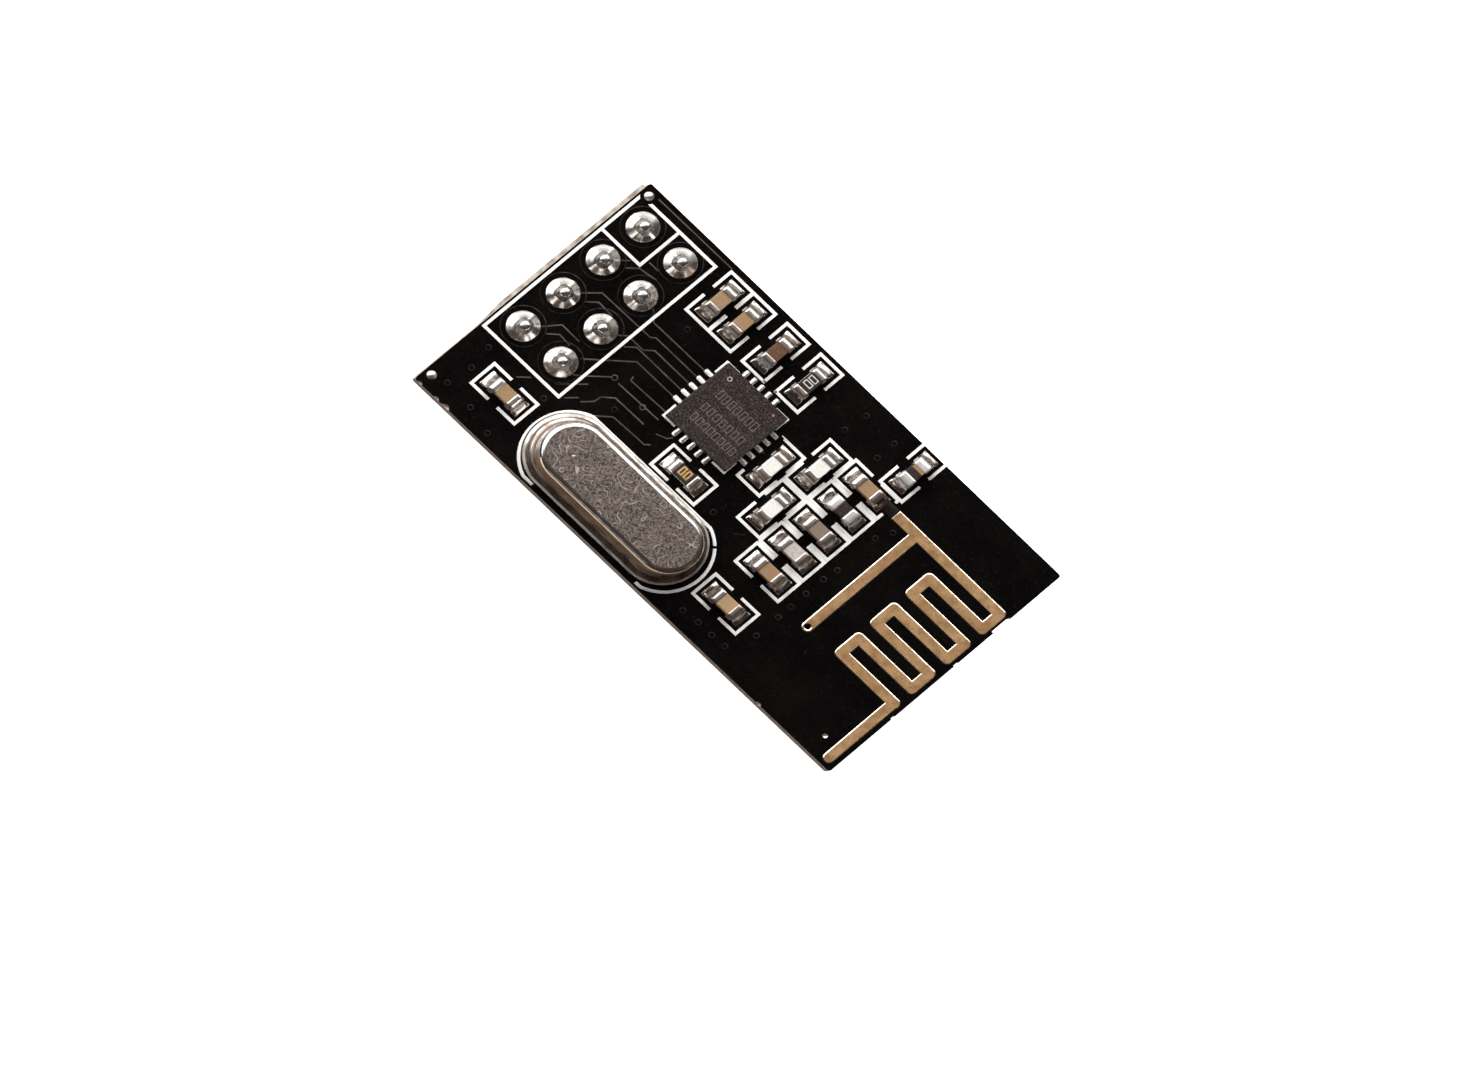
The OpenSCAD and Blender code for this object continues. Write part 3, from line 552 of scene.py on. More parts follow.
def stamp_tree():
    """Geometry nodes that set a shape on each point, with a little random ripple."""
    tree = bpy.data.node_groups.new("stamp", "GeometryNodeTree")
    wanted = [("Places", "NodeSocketGeometry"), ("Shape", "NodeSocketObject"),
              ("Finish", "NodeSocketMaterial"), ("Ripple height", "NodeSocketFloat"),
              ("Ripple width", "NodeSocketFloat"), ("Seed", "NodeSocketFloat")]
    for name, kind in wanted:
        tree.interface.new_socket(name, in_out="INPUT", socket_type=kind)
    tree.interface.new_socket("Pieces", in_out="OUTPUT", socket_type="NodeSocketGeometry")
    given = add(tree, "NodeGroupInput").outputs
    shape = add(tree, "GeometryNodeObjectInfo", {"Object": given["Shape"]})
    turn = add(tree, "GeometryNodeInputNamedAttribute", {"Name": "turn"}, data_type="FLOAT_VECTOR")
    stretch = add(tree, "GeometryNodeInputNamedAttribute", {"Name": "stretch"},
                  data_type="FLOAT_VECTOR")
    rotation = add(tree, "FunctionNodeEulerToRotation", {0: turn.outputs[0]})
    copies = add(tree, "GeometryNodeInstanceOnPoints", {
        "Points": given["Places"], "Instance": shape.outputs["Geometry"],
        "Rotation": rotation.outputs[0], "Scale": stretch.outputs[0]})
    solid = add(tree, "GeometryNodeRealizeInstances", {"Geometry": copies.outputs[0]})
    density = add(tree, "ShaderNodeMath", {0: 1.0, 1: given["Ripple width"]}, operation="DIVIDE")
    noise = add(tree, "ShaderNodeTexNoise", {
        "Vector": add(tree, "GeometryNodeInputPosition").outputs[0], "W": given["Seed"],
        "Scale": density.outputs[0], "Detail": 1.0}, noise_dimensions="4D")
    centred = add(tree, "ShaderNodeVectorMath", {0: noise.outputs["Color"], 1: (0.5, 0.5, 0.5)},
                  operation="SUBTRACT")
    push = add(tree, "ShaderNodeVectorMath", {0: centred.outputs[0], "Scale": given["Ripple height"]},
               operation="SCALE")
    uneven = add(tree, "GeometryNodeSetPosition",
                 {"Geometry": solid.outputs[0], "Offset": push.outputs[0]})
    smooth = add(tree, "GeometryNodeSetShadeSmooth", {"Geometry": uneven.outputs[0]})
    coated = add(tree, "GeometryNodeSetMaterial",
                 {"Geometry": smooth.outputs[0], "Material": given["Finish"]})
    add(tree, "NodeGroupOutput", {"Pieces": coated.outputs[0]})
    return tree


stamp = stamp_tree()


def stamped(name, shape_mesh, spots, finish, node, ripple):
    """One piece made of a shape set at each spot: its place, turn about Z and stretch."""
    points = bpy.data.meshes.new(name)
    points.from_pydata([place for place, turn, stretch in spots], [], [])
    turns = points.attributes.new("turn", "FLOAT_VECTOR", "POINT")
    turns.data.foreach_set("vector", [v for place, turn, stretch in spots for v in (0, 0, turn)])
    stretches = points.attributes.new("stretch", "FLOAT_VECTOR", "POINT")
    stretches.data.foreach_set("vector", [v for place, turn, stretch in spots for v in stretch])
    holder = bpy.data.objects.new(name + "_places", points)
    pattern = bpy.data.objects.new(name + "_shape", shape_mesh)
    for obj in (holder, pattern):
        bpy.context.scene.collection.objects.link(obj)
    maker = holder.modifiers.new("stamp", "NODES")
    maker.node_group = stamp
    sockets = {item.name: item.identifier for item in stamp.interface.items_tree
               if item.in_out == "INPUT"}
    given = {"Shape": pattern, "Finish": finish}
    given.update(zip(("Ripple height", "Ripple width", "Seed"), ripple))
    for key, value in given.items():
        maker[sockets[key]] = value
    holder.update_tag()
    evaluated = holder.evaluated_get(bpy.context.evaluated_depsgraph_get())
    mesh = bpy.data.meshes.new_from_object(evaluated)
    mesh.polygons.foreach_set("material_index", [0] * len(mesh.polygons))
    for obj in (holder, pattern):
        bpy.data.objects.remove(obj)
    return place_piece(name, mesh, [finish], node)


hand_solder = tinned("hand_solder", solder_bright, solder_dull, grain_mm=0.5, smooth=0.24, rough=0.32,
                     relief_mm=0.0005)
joint_spots = [((middle.x, middle.y, land_top), number * right_angle, as_drawn)
               for number, middle in enumerate(pin_middles)]
stamped("pin_solder_joints", turned(flank_mm + post_mm + tip_mm, joint_turns), joint_spots, hand_solder,
        "header_solder", joint_ripple)


# Crystal
# A quartz resonator in a drawn nickel-silver can. The can's lip is resistance welded to a
# base plate. Its top is blasted matt, while the drawn rim and the sides facing the light
# stay bright, and a speck of dust lies on it. The wall on the sides turned away from the
# light is painted brown as painted shade, with a pale painted reflection line on the
# shoulder above it, and the crease at the wall's root is painted darker as painted shade.
cover_low, cover_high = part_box("crystal_cover")
crystal_middle = (cover_low + cover_high) / 2
can_straight = (cover_high.x - cover_low.x) - (cover_high.y - cover_low.y)
lip_out = (cover_high.y - cover_low.y) / 2
lip_w = 0.52 * MM
can_r = lip_out - lip_w
rim_r = 0.3 * MM
lip_t = 0.24 * MM
root_r = 0.28 * MM
lip_round = 0.07 * MM
lip_slope = 35
lip_edge = lip_out - lip_round * (1 - math.sin(math.radians(lip_slope)))
lip_run = lip_edge - can_r - root_r
lip_drop = lip_run / 2 * math.tan(math.radians(lip_slope))
lip_steps = (0.8, 0.6, 0.4, 0.2)
lip_top = cover_low.z + lip_t
lip_edge_z = lip_top - lip_drop - lip_round * math.cos(math.radians(lip_slope))
shoulder_h = 0.12 * MM
shoulder_foot = cover_high.z - rim_r - shoulder_h
small_arc, root_arc, rim_arc = 4, 6, 12
end_steps = 36
root_tilt, rim_tilt, shoulder_tilt = 0.92, 0.87, 0.55
lip_rubbed = 0.36
# Faces turned further than this toward -Y and +X, away from the light, get painted shade.
shade_turn = -0.2
top_reach = 0.001 * MM
die_rings = (0.15, 0.15, 1)
grit_dark = "#2a221f"
grit_light = "#84776f"
scratch_pale = "#c0b4ac"
scratch_mm = 1.1
scratch_folds = 8.0
scratch_w = 0.08
mark_t = 0.003 * MM
speck_mm = (5.04, -7.05)
speck_rim_mm = ((-0.07, -0.05), (-0.01, -0.07), (0.05, 0.02), (0.07, 0.08), (0.01, 0.06), (-0.05, 0.0))


def arc(centre, radius, start, stop, steps):
    """Points of an arc from angle start to stop, in degrees."""
    return [(centre[0] + radius * math.cos(math.radians(start + (stop - start) * k / steps)),
             centre[1] + radius * math.sin(math.radians(start + (stop - start) * k / steps)))
            for k in range(steps + 1)]


def round_ended(profile, straight, middle):
    """A closed solid with round ends, swept from a half section of radius and height."""
    shape = bmesh.new()
    rings = []
    for radius, height in profile:
        ring = []
        for side in (1, -1):
            for k in range(end_steps + 1):
                a = math.pi * (k / end_steps - 0.5) + (0 if side > 0 else math.pi)
                ring.append(shape.verts.new((middle.x + side * straight / 2 + radius * math.cos(a),
                                             middle.y + radius * math.sin(a), height)))
        rings.append(ring)
    join_rings(shape, rings)
    shape.faces.new(reversed(rings[0]))
    shape.faces.new(rings[-1])
    mesh = finished_mesh(shape, "round_ended")
    mesh.shade_smooth()
    mesh.set_sharp_from_angle(angle=crease_angle)
    return mesh


def drawn_metal(name, bright, stained, smooth, rough, metal=1.0):
    # Deep-drawn sheet and thin flowed solder: a smooth bright metal, with faint level streaks
    # as a die leaves them.
    finish, tree, place = new_finish(name)
    drawn = add(tree, "ShaderNodeMapping", {"Vector": place, "Scale": die_rings}).outputs[0]
    rings = blotches(tree, drawn, size_mm=0.06, low=0.3, high=0.7)
    stain = blotches(tree, drawn, size_mm=0.12, low=0.45, high=0.7)
    build_up(tree, bright, [(stain, stained)], rings, smooth, rough, relief_mm=0.0015, metal=metal)
    return finish


def blasted_metal():
    # Blasted top: a matt brown-grey field with fine grit and pale scratches that wander.
    finish, tree, place = new_finish("blasted_nickel_silver")
    grit = blotches(tree, place, size_mm=0.08, low=0.35, high=0.65, detail=3)
    cloud = blotches(tree, place, size_mm=0.5, low=0.44, high=0.56)
    ground = add(tree, "ShaderNodeTexNoise",
                 {"Vector": place, "Scale": 1 / (scratch_mm * MM), "Detail": 1.0})
    steps = add(tree, "ShaderNodeMath", {0: ground.outputs["Fac"], 1: scratch_folds}, operation="MULTIPLY")
    fold = add(tree, "ShaderNodeMath", {0: steps.outputs[0], 1: 0.5}, operation="PINGPONG")
    line = add(tree, "ShaderNodeMapRange",
               {"Value": fold.outputs[0], "From Max": scratch_w, "To Min": 1.0, "To Max": 0.0})
    scratch = add(tree, "ShaderNodeMath", {0: line.outputs[0], 1: cloud}, operation="MULTIPLY")
    build_up(tree, grit_dark, [(grit, grit_light), (scratch.outputs[0], scratch_pale)], grit,
             smooth=0.42, rough=0.6, relief_mm=0.004, metal=0.3)
    return finish


def add_marks(mesh, outlines, ground, finish_slot):
    """Adds thin films of these outlines on a mesh's top at height ground."""
    with reshaping(mesh) as shape:
        for outline in outlines:
            lower = [shape.verts.new((x, y, ground)) for x, y in outline]
            upper = [shape.verts.new((x, y, ground + mark_t)) for x, y in outline]
            faces = [shape.faces.new(upper), shape.faces.new(reversed(lower))]
            for face in faces + join_rings(shape, [lower, upper]):
                face.material_index = finish_slot


bright_can = drawn_metal("drawn_nickel_silver", "#eae6e2", "#cfc6be", smooth=0.14, rough=0.26)
# Painted shade: a brown finish for the wall on the sides turned away from the light.
shaded_wall = drawn_metal("painted_shade_wall", "#bb926c", "#66493a", smooth=0.26, rough=0.4, metal=0.7)
worn_rim = drawn_metal("handled_rim", "#f0ece8", "#d8d0c9", smooth=0.18, rough=0.28)
# Painted shade: a darker finish for the crease at the wall's root.
root_crease_shade = drawn_metal("painted_root_shade", "#98897f", "#574b42", smooth=0.35, rough=0.5, metal=0.6)
welded_lip = drawn_metal("welded_lip", "#b5aca4", "#655a51", smooth=0.2, rough=0.34)
lip_rim = drawn_metal("rubbed_lip_edge", "#d6cec8", "#94887f", smooth=0.3, rough=0.4, metal=0.55)
# Painted reflection: a pale, partly matt line on the shoulder on the sides turned away from the light.
shoulder_reflection = drawn_metal("painted_reflection_shoulder", "#fff3e4", "#e4caa6", smooth=0.3, rough=0.4, metal=0.3)
blasted_top = blasted_metal()
pale_dust = moulded("pale_dust", "#f4f1ee", "#dcd6d2", fleck_mm=0.05, smooth=0.6, rough=0.8, relief_mm=0.001)
can_finishes = [welded_lip, blasted_top, shaded_wall, worn_rim, root_crease_shade, bright_can, shoulder_reflection,
                pale_dust, lip_rim]
cover_profile = [(lip_out - lip_round, cover_low.z)]
cover_profile += arc((lip_out - lip_round, cover_low.z + lip_round), lip_round, -90, 0, small_arc)
cover_profile += arc((lip_out - lip_round, lip_edge_z), lip_round, 0, 90 - lip_slope, small_arc)
cover_profile += [(can_r + root_r + lip_run * t, lip_top - lip_drop * t * t) for t in lip_steps]
cover_profile += arc((can_r + root_r, lip_top + root_r), root_r, 270, 180, root_arc)
cover_profile += [(can_r, shoulder_foot)]
cover_profile += arc((can_r - rim_r, cover_high.z - rim_r), rim_r, 0, 90, rim_arc)
cover_mesh = round_ended(cover_profile, can_straight, crystal_middle)
place_piece("crystal_can", cover_mesh, can_finishes, "crystal_cover")
for face in cover_mesh.polygons:
    level = face.center.z
    upright = face.normal.z < root_tilt
    on_rim = level > cover_high.z - rim_r
    on_wall = level > lip_top + root_r and upright
    # Faces turned away from the light get the painted shade on the wall and the painted reflection line on
    # the shoulder.
    away_from_light = face.normal.y - face.normal.x < shade_turn
    bands = [(level > cover_high.z - top_reach, blasted_top),
             (on_rim and face.normal.z > rim_tilt, worn_rim),
             (on_rim and face.normal.z > shoulder_tilt, bright_can),
             (level > shoulder_foot and away_from_light, shoulder_reflection),
             (on_wall and away_from_light, shaded_wall),
             (on_wall, bright_can),
             # The crease at the wall's root gets painted shade.
             (level > lip_top and upright, root_crease_shade),
             (level < lip_top - lip_drop * lip_rubbed, lip_rim)]
    finish = next((finish for inside, finish in bands if inside), welded_lip)
    face.material_index = can_finishes.index(finish)
speck = [((speck_mm[0] + dx) * MM, (speck_mm[1] + dy) * MM) for dx, dy in speck_rim_mm]
add_marks(cover_mesh, [speck], cover_high.z, can_finishes.index(pale_dust))
base_low, base_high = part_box("crystal_base")
base_out = (base_high.y - base_low.y) / 2
base_round = 0.05 * MM
base_profile = [(base_out - base_round, base_low.z), (base_out, base_low.z + base_round)]
base_profile += arc((base_out - base_round, base_high.z - base_round), base_round, 0, 90, small_arc)
base_mesh = round_ended(base_profile, can_straight, crystal_middle)
place_piece("crystal_header", base_mesh, [bright_can], "crystal_base")


# Crystal leads, seals and the parts inside the can
# Plated wire leads pass through glass seals in the base plate and are soldered under the
# board. Sheet clips on their tops hold the quartz blank by its ends.
dress("crystal_leads", tin_plate)
dress("crystal_solder", hand_solder)
dress("crystal_seals", moulded("green_seal_glass", "#33504a", "#5d7a70", fleck_mm=0.2, smooth=0.05,
                               rough=0.15, relief_mm=0.001))
dress("crystal_clips", pin_gold)
dress("quartz_blank", moulded("ground_quartz", "#dfe4e6", "#f2f5f6", fleck_mm=0.1, smooth=0.3,
                              rough=0.4, relief_mm=0.001))


# Radio chip
# A flat no-lead package: epoxy compound moulded over a copper frame and sawn square. A
# laser has burnt rows of marks in its top, and a ring and a dot are polished spots.
chip_low, chip_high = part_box("radio_chip")
chip_middle = (chip_low + chip_high) / 2
chip_round = 0.035 * MM
round_steps = 3
mark_line = 0.04 * MM
mark_w = 0.26 * MM
# Middle of each row, its count of boxes, their pitch and their height, in millimetres
mark_rows_mm = [(8.635, 0.375, 7, 0.38, 0.5), (8.655, -0.585, 7, 0.4, 0.44), (8.74, -1.28, 8, 0.36, 0.44)]
ring_mm = (7.185, 1.25)
ring_in_mm, ring_out_mm = 0.075, 0.14
dot_mm = (9.945, 1.43)
dot_r_mm = 0.06
spot_turns = 16
burnt, polished = 1, 2


def round_box_edges(mesh, width):
    """Rounds the upright and upper edges of a mesh that lie on its box."""
    with reshaping(mesh) as shape:
        reach = np.array([v.co for v in shape.verts])
        low, high = reach.min(axis=0), reach.max(axis=0)
        slack = width / 100
        chosen = []
        for edge in shape.edges:
            ends = np.array([v.co for v in edge.verts])
            at_high = (np.abs(ends - high) < slack).all(axis=0)
            at_low = (np.abs(ends - low) < slack).all(axis=0)
            at_low[2] = False
            if (at_high | at_low).sum() == 2:
                chosen.append(edge)
        bmesh.ops.bevel(shape, geom=chosen, offset=width, segments=round_steps, affect="EDGES",
                        profile=0.5)


def hollow_box(centre, width, depth, line):
    """Four bars round an empty middle, each as its corners."""
    x, y = centre
    half_x, half_y, in_x, in_y = width / 2, depth / 2, width / 2 - line, depth / 2 - line
    bars = [(-half_x, -half_y, half_x, -in_y), (-half_x, in_y, half_x, half_y),
            (-half_x, -in_y, -in_x, in_y), (in_x, -in_y, half_x, in_y)]
    return [[(x + a, y + b), (x + c, y + b), (x + c, y + d), (x + a, y + d)] for a, b, c, d in bars]


def round_spot(centre_mm, radius_mm, angle):
    """A point at an angle on a circle on the chip's top."""
    return ((centre_mm[0] + radius_mm * math.cos(angle)) * MM,
            (centre_mm[1] + radius_mm * math.sin(angle)) * MM)


chip_finishes = [moulded("epoxy_moulding_compound", "#1c1514", "#52443f", fleck_mm=0.065, smooth=0.5,
                         rough=0.7, relief_mm=0.003, gloss=0.2),
                 moulded("laser_burnt_compound", "#65554e", "#84736a", fleck_mm=0.06, smooth=0.6,
                         rough=0.8, relief_mm=0.003, gloss=0.2),
                 moulded("polished_compound", "#8f827c", "#b5a9a3", fleck_mm=0.06, smooth=0.4,
                         rough=0.6, relief_mm=0.003)]
chip_mesh = merged_copy("radio_chip")
round_box_edges(chip_mesh, chip_round)
place_piece("moulded_chip", chip_mesh, chip_finishes, "radio_chip")
for row_x, row_y, boxes, pitch, tall in mark_rows_mm:
    for k in range(boxes):
        spot = ((row_x + (k - (boxes - 1) / 2) * pitch) * MM, row_y * MM)
        add_marks(chip_mesh, hollow_box(spot, mark_w, tall * MM, mark_line), chip_high.z, burnt)
spot_angles = [2 * math.pi * k / spot_turns for k in range(spot_turns + 1)]
for start, stop in zip(spot_angles, spot_angles[1:]):
    corners = [(ring_in_mm, start), (ring_out_mm, start), (ring_out_mm, stop), (ring_in_mm, stop)]
    ring_part = [round_spot(ring_mm, radius, angle) for radius, angle in corners]
    add_marks(chip_mesh, [ring_part], chip_high.z, polished)
dot = [round_spot(dot_mm, dot_r_mm, angle) for angle in spot_angles[:-1]]
add_marks(chip_mesh, [dot], chip_high.z, polished)
dress("radio_chip_terminals", tin_plate)


# Solder on the radio chip's terminals
# Reflowed paste: a small bead that runs from each terminal's sawn end along its land.
# It is highest at the chip and thins out to a round end.
bead_l = 0.46 * MM
bead_w = 0.27 * MM
bead_h = 0.16 * MM
bead_sink = 0.01 * MM
bead_steps = 10
bead_tail = 0.7
bead_end_w = 0.2
bead_end_h = 0.05
bead_land_h = 0.35
bead_crown = 0.7
bead_fall = 1.2
bead_ripple = (0.012 * MM, 0.3 * MM, 5.0)
terminal_pitch = 0.5 * MM
terminal_steps = (-2, -1, 0, 1, 2)


def skirted(point_at, across, along, drop):
    """A closed solid from a top surface point_at(u, v), u -1 to 1 and v 0 to 1, with a skirt."""
    shape = bmesh.new()
    grid = [[shape.verts.new(point_at(2 * i / across - 1, j / along)) for i in range(across + 1)]
            for j in range(along + 1)]
    for j in range(along):
        for i in range(across):
            shape.faces.new((grid[j][i], grid[j + 1][i], grid[j + 1][i + 1], grid[j][i + 1]))
    rim = grid[0] + [row[-1] for row in grid[1:]] + grid[-1][-2::-1] + [row[0] for row in grid[-2:0:-1]]
    foot = [shape.verts.new((v.co.x, v.co.y, -drop)) for v in rim]
    join_rings(shape, [rim, foot])
    shape.faces.new(foot)
    bmesh.ops.recalc_face_normals(shape, faces=shape.faces)
    return finished_mesh(shape, "skirted")


def bead_point(u, v):
    """Bead's top: high at the chip, round over the land and round in plan at its end."""
    past_tail = max(0.0, v - bead_tail) / (1 - bead_tail)
    end = math.sqrt(max(0.0, 1 - past_tail ** 2))
    width = bead_w / 2 * (bead_end_w + (1 - bead_end_w) * end)
    height = bead_h * (1 - u * u) ** bead_crown * (bead_end_h + (1 - bead_end_h) * end)
    height *= bead_land_h + (1 - bead_land_h) * (1 - v) ** bead_fall
    return Vector((v * bead_l, u * width, height))


bead_spots = []
for side in range(4):
    turn = side * right_angle
    out = Vector((math.cos(turn), math.sin(turn), 0))
    beside = Vector((-out.y, out.x, 0))
    reach = (chip_high.x - chip_low.x) / 2
    for step in terminal_steps:
        spot = chip_middle + out * reach + beside * step * terminal_pitch
        bead_spots.append(((spot.x, spot.y, land_top), turn, as_drawn))
bead_solder = drawn_metal("thin_reflowed_solder", "#f4f1ee", "#cdc5be", smooth=0.24, rough=0.34, metal=0.75)
stamped("chip_terminal_beads", skirted(bead_point, bead_steps, bead_steps, bead_sink), bead_spots,
        bead_solder, "radio_chip_solder", bead_ripple)


# Chip components
# Multilayer capacitors and coils and thick-film resistors: fired ceramic blocks with
# plated metal caps, each reflowed to a pair of lands. One match capacitor has a band of
# tan ceramic across its top.
ceramics = {
    "tan_ceramic": ("#a07b51", "#8e867f"),
    "light_tan_ceramic": ("#bb9567", "#a39a90"),
    "brown_ceramic": ("#614127", "#62554d"),
    "white_ceramic": ("#ece8e4", "#e0dbd6"),
    "dark_ceramic": ("#281f1c", "#3e332e"),
    "grey_ceramic": ("#7d7169", "#937850"),
    "pale_ceramic": ("#c2bbb6", "#aea39b"),
    "alumina": ("#ddd6cb", "#c4bcb2"),
}
chip_kinds = {
    "supply_capacitor_1": "tan_ceramic", "supply_capacitor_2": "tan_ceramic",
    "core_capacitor": "brown_ceramic", "bias_resistor": "alumina",
    "load_capacitor_1": "tan_ceramic", "load_capacitor_2": "light_tan_ceramic",
    "feedback_resistor": "alumina", "match_coil_1": "white_ceramic",
    "match_coil_2": "white_ceramic", "match_coil_3": "white_ceramic",
    "match_capacitor_1": "tan_ceramic", "match_capacitor_2": "dark_ceramic",
    "match_capacitor_3": "dark_ceramic", "match_capacitor_4": "grey_ceramic",
    "match_capacitor_5": "pale_ceramic", "match_capacitor_6": "tan_ceramic",
}
body_round = 0.045 * MM
banded_chip = "match_capacitor_2"
band_off = 0.12 * MM
band_w = 0.2 * MM
band_slot = 1
ceramic_finishes = {name: moulded("fired_" + name, base, fleck, fleck_mm=0.11, smooth=0.4, rough=0.55,
                                  relief_mm=0.003, gloss=0.3)
                    for name, (base, fleck) in ceramics.items()}
for node, kind in chip_kinds.items():
    body_mesh = merged_copy(node)
    round_box_edges(body_mesh, body_round)
    place_piece(node + "_block", body_mesh, [ceramic_finishes[kind], ceramic_finishes["tan_ceramic"]],
                node)
    if node == banded_chip:
        low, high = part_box(node)
        band_y = (low.y + high.y) / 2 + band_off
        band = [(low.x + body_round, band_y), (high.x - body_round, band_y),
                (high.x - body_round, band_y + band_w), (low.x + body_round, band_y + band_w)]
        add_marks(body_mesh, [band], high.z, band_slot)


# Overcoat of the resistors
# Dark glass printed over the resistive film and fired. Each resistor has a pair of boxes
# in mark ink on it, white on one and ochre on the other.
coat_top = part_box("resistor_coats")[1].z
bias_middle = sum(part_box("bias_resistor"), Vector()) / 2
feedback_middle = sum(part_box("feedback_resistor"), Vector()) / 2
box_sides_mm = (-0.17, 0.17)
box_l, white_box_w, ochre_box_w = 0.5 * MM, 0.27 * MM, 0.28 * MM
white_line, ochre_line = 0.055 * MM, 0.09 * MM
white_off_mm = (-0.03, 0.06)
ochre_off_mm = (-0.04, 0.06)
white_slot, ochre_slot = 1, 2
coat_finishes = [moulded("printed_glass_coat", "#1f1917", "#322925", fleck_mm=0.08, smooth=0.3,
                         rough=0.45, relief_mm=0.002),
                 moulded("white_mark_ink", "#d8d2ce", "#b5aca7", fleck_mm=0.1, smooth=0.5,
                         rough=0.7, relief_mm=0.001),
                 moulded("ochre_mark_ink", "#c39b5c", "#8f6f42", fleck_mm=0.1, smooth=0.5,
                         rough=0.7, relief_mm=0.001)]
coat_mesh = merged_copy("resistor_coats")
place_piece("resistor_glaze", coat_mesh, coat_finishes, "resistor_coats")
for side in box_sides_mm:
    spot = (bias_middle.x + white_off_mm[0] * MM, bias_middle.y + (side + white_off_mm[1]) * MM)
    add_marks(coat_mesh, hollow_box(spot, box_l, white_box_w, white_line), coat_top, white_slot)
    spot = (feedback_middle.x + (side + ochre_off_mm[0]) * MM, feedback_middle.y + ochre_off_mm[1] * MM)
    add_marks(coat_mesh, hollow_box(spot, ochre_box_w, box_l, ochre_line), coat_top, ochre_slot)


# Metal caps of the chip components
# Silver fired on the block's ends, plated with nickel and tin, crowned by the plating.
# The caps of the dark capacitors have a brighter, partly matt finish: a painted highlight.
skin = 0.03 * MM
cap_l = 0.42 * MM
cap_lengths = {"dark_ceramic": 0.52 * MM, "alumina": 0.34 * MM}
cap_w = 0.8 * MM
cap_over = 0.04 * MM
cap_steps = 20
# Width and fall of each rounded edge
outer_roll = (0.24 * MM, 0.18 * MM)
inner_roll = (0.08 * MM, 0.05 * MM)
side_roll = (0.1 * MM, 0.1 * MM)
capacitor_h = 0.8 * MM
cap_ripple = (0.008 * MM, 0.3 * MM, 7.0)
# Which caps get the painted highlight, how far round their chips to look, and its slot.
highlight_kind = "dark_ceramic"
highlight_reach = Vector((2 * skin, 2 * skin, 0))
highlight_slot = 1


def rolled(distance, roll):
    """Drop of an edge rounded over a width and a fall, at a distance in from it."""
    width, fall = roll
    return 0 if distance > width else fall * (1 - math.sqrt(1 - (1 - distance / width) ** 2))


def cap_point(u, v):
    """Cap's top: a low crown beside the ceramic, rolled over at its sides and its outer end."""
    drop = rolled(v * cap_l, outer_roll) + rolled((1 - v) * cap_l, inner_roll)
    drop += rolled((1 - abs(u)) * cap_w / 2, side_roll)
    return Vector((-v * cap_l, u * cap_w / 2, capacitor_h - drop))


cap_spots = []
fillet_spots = []
for node, kind in chip_kinds.items():
    low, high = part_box(node)
    size = high - low
    middle = (low + high) / 2
    lengthwise = 0 if size.x > size.y else right_angle
    chip_h = size.z + 2 * skin
    cap_stretch = (cap_lengths.get(kind, cap_l) / cap_l, 1, (chip_h + cap_over) / capacitor_h)
    for turn in (lengthwise, lengthwise + math.pi):
        out = Vector((math.cos(turn), math.sin(turn), 0))
        end = middle + out * (max(size.x, size.y) / 2 + skin)
        cap_spots.append(((end.x, end.y, land_top), turn, cap_stretch))
        fillet_spots.append(((end.x, end.y, land_top), turn, (1, 1, chip_h / capacitor_h)))
plated_cap = tinned("plated_tin_cap", "#e4dcd6", "#b9ada5", grain_mm=0.35, smooth=0.28, rough=0.38,
                    relief_mm=0.001)
# Painted highlight: a brighter, partly matt finish for the caps of the dark capacitors.
painted_cap = drawn_metal("painted_highlight_cap", "#fbf8f5", "#e4ddd7", smooth=0.28, rough=0.38, metal=0.65)
caps = stamped("plated_chip_caps", skirted(cap_point, cap_steps, cap_steps, 0), cap_spots, plated_cap,
               "chip_ends", cap_ripple)
caps.data.materials.append(painted_cap)
# Gives the caps of the dark capacitors the painted highlight.
for low, high in [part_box(node) for node, kind in chip_kinds.items() if kind == highlight_kind]:
    near, far = low - highlight_reach, high + highlight_reach
    for face in caps.data.polygons:
        if near.x < face.center.x < far.x and near.y < face.center.y < far.y:
            face.material_index = highlight_slot


# Solder fillets of the chip components
# Reflowed solder that climbs each cap and runs out to the land's corners. It is hollow
# along its length, and narrows to a low ridge where it runs out.
land_w = 0.94 * MM
fillet_l = 0.4 * MM
fillet_h = 0.6 * MM
fillet_in = 0.06 * MM
fillet_sink = 0.005 * MM
fillet_across, fillet_along = 16, 12
fillet_hollow = 1.9
fillet_arch = 3
fillet_ridge = 1.3
fillet_ripple = (0.007 * MM, 0.4 * MM, 11.0)


def fillet_point(u, v):
    """Fillet's top: hollow along its length and arched across, to a ridge where it runs out."""
    rise = (1 - v) ** fillet_hollow
    arch = 1 - abs(u) ** (fillet_arch + (fillet_ridge - fillet_arch) * v)
    return Vector((v * (fillet_l + fillet_in) - fillet_in, u * land_w / 2, fillet_h * rise * arch))


paste_solder = tinned("reflowed_solder", "#d8d0c9", "#8d8179", grain_mm=0.35, smooth=0.2, rough=0.3,
                      relief_mm=0.0005)
stamped("chip_solder_fillets", skirted(fillet_point, fillet_across, fillet_along, fillet_sink),
        fillet_spots, paste_solder, "chip_solder", fillet_ripple)


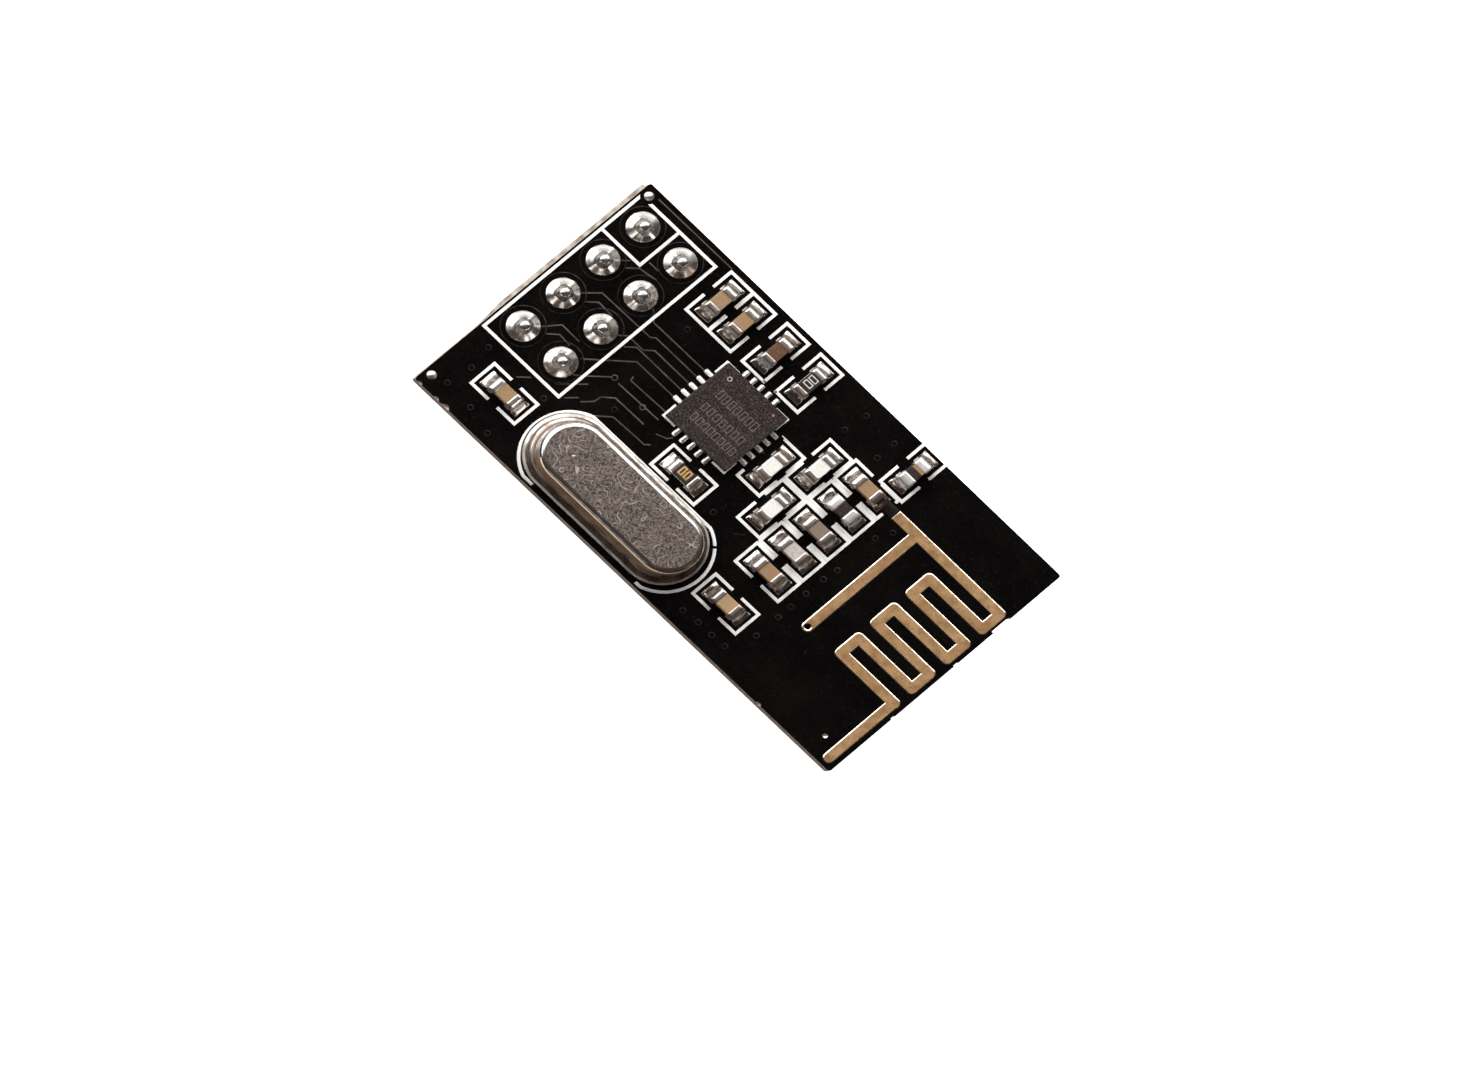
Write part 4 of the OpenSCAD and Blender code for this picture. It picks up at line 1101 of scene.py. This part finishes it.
# Stage
# A plain white floor under the pins' tips, big enough to fill every view. It glows, so
# that it stays white, and metal doesn't mirror it.
floor_z = cad_box[0][2]
floor_size = 6.0
floor_glow = 0.9
floor_mesh = bpy.data.meshes.new("floor")
corners = [(-floor_size, -floor_size), (floor_size, -floor_size), (floor_size, floor_size),
           (-floor_size, floor_size)]
floor_mesh.from_pydata([(x, y, floor_z) for x, y in corners], [], [(0, 1, 2, 3)])
floor = bpy.data.objects.new("floor", floor_mesh)
bpy.context.scene.collection.objects.link(floor)
# White paper: flat, with hardly any shade in it.
paper, paper_tree, paper_place = new_finish("white_paper")
fibre = blotches(paper_tree, paper_place, size_mm=40, low=0.3, high=0.7)
sheet = build_up(paper_tree, "#fbfbfb", [(fibre, "#ffffff")], fibre, smooth=0.9, rough=0.9)
sheet.inputs["Emission Color"].default_value = linear("#ffffff")
sheet.inputs["Emission Strength"].default_value = floor_glow
floor_mesh.materials.append(paper)
floor.visible_glossy = False
floor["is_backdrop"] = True


# Camera
# The photograph looks almost straight down on the board from a long way off, and its frame
# is stretched sideways, so the camera's own axes are worked out from the board's edges.
photo_w, photo_h = 1463, 1075
# Pixels right and down that a millimetre along, across and up from the board takes
board_px = {"along": (14.745, 14.035), "across": (15.609, -13.064), "up": (2.33, -0.53)}
board_middle_px = (738.8, 476.6)
lens_mm = 600
sensor_mm = 36
right = np.array([board_px[k][0] for k in ("along", "across", "up")])
upward = np.array([-board_px[k][1] for k in ("along", "across", "up")])
back = np.cross(right, upward)
back /= np.linalg.norm(back)
solved = np.linalg.pinv(np.array([right, upward]))
px_per_mm = 1 / np.linalg.norm(solved[:, 1])
cam_x = solved[:, 0] * px_per_mm
cam_y = solved[:, 1] * px_per_mm
lean = math.sqrt(1 - cam_x @ cam_x)
cam_x = cam_x + lean * back
distance = photo_w * lens_mm / sensor_mm / px_per_mm * MM
board_middle = np.array([(board_low.x + board_high.x) / 2, (board_low.y + board_high.y) / 2, board_high.z])
off_px = (board_middle_px[0] - photo_w / 2, photo_h / 2 - board_middle_px[1])
aim = board_middle - (cam_x * off_px[0] + cam_y * off_px[1]) / px_per_mm * MM
eye = aim + back * distance
camera_data = bpy.data.cameras.new("camera")
camera_data.lens = lens_mm
camera_data.sensor_width = sensor_mm
camera = bpy.data.objects.new("camera", camera_data)
tripod = bpy.data.objects.new("tripod", None)
for obj in (camera, tripod):
    bpy.context.scene.collection.objects.link(obj)
camera.parent = tripod
axes = np.column_stack([cam_x, cam_y, back, eye])
camera.matrix_parent_inverse = Matrix([*axes.tolist(), [0, 0, 0, 1]])
bpy.context.scene.camera = camera


# Light
# A broad soft box beyond the top of the picture, a low one at its upper left, two small
# low strips toward its lower corners, and a room that is dark below and pale above, so
# that the mask stays black and the solder shows streaks.
room_dark = "#3d322b"
room_pale = "#d0cecb"
room_low, room_high = 0.1, 0.7
image_up = Vector(cam_y.tolist()).normalized()
image_right = image_up.cross(Vector(back.tolist())).normalized()
subject = Vector(board_middle.tolist())


def soft_box(name, sideways, up, height, width, depth, watts):
    """An area light aimed at the board, placed along the picture's own axes, in metres."""
    data = bpy.data.lights.new(name, "AREA")
    data.shape = "RECTANGLE"
    data.size = width
    data.size_y = depth
    data.energy = watts
    lamp = bpy.data.objects.new(name, data)
    lamp.location = subject + image_right * sideways + image_up * up + Vector((0, 0, height))
    aim_at = subject - lamp.location
    lamp.rotation_euler = aim_at.to_track_quat("-Z", "Y").to_euler()
    bpy.context.scene.collection.objects.link(lamp)


soft_box("key", sideways=-0.035, up=0.27, height=0.29, width=1.0, depth=0.34, watts=3.85)
soft_box("side", sideways=-0.33, up=0.2, height=0.12, width=0.5, depth=0.16, watts=0.55)
soft_box("near_strip", sideways=-0.262, up=-0.247, height=0.07, width=0.07, depth=0.08, watts=0.01)
soft_box("right_strip", sideways=0.247, up=-0.262, height=0.07, width=0.07, depth=0.08, watts=0.006)
world = bpy.data.worlds.new("room")
bpy.context.scene.world = world
world.use_nodes = True
room = world.node_tree
room.nodes.clear()
looking = add(room, "ShaderNodeTexCoord").outputs["Generated"]
toward_top = add(room, "ShaderNodeVectorMath", {0: looking, 1: tuple(image_up)}, operation="DOT_PRODUCT")
paleness = add(room, "ShaderNodeMapRange", {
    "Value": toward_top.outputs["Value"], "From Min": room_low, "From Max": room_high},
    interpolation_type="SMOOTHSTEP")
room_light = add(room, "ShaderNodeMix", {
    mix_amount: paleness.outputs[0], mix_first: room_dark, mix_second: room_pale}, data_type="RGBA")
backdrop = add(room, "ShaderNodeBackground", {"Color": room_light.outputs[mix_result]})
add(room, "ShaderNodeOutputWorld", {"Surface": backdrop.outputs[0]})
bpy.context.scene.view_settings.view_transform = "Standard"

boxes = {"cad": cad_box, "visual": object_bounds()}
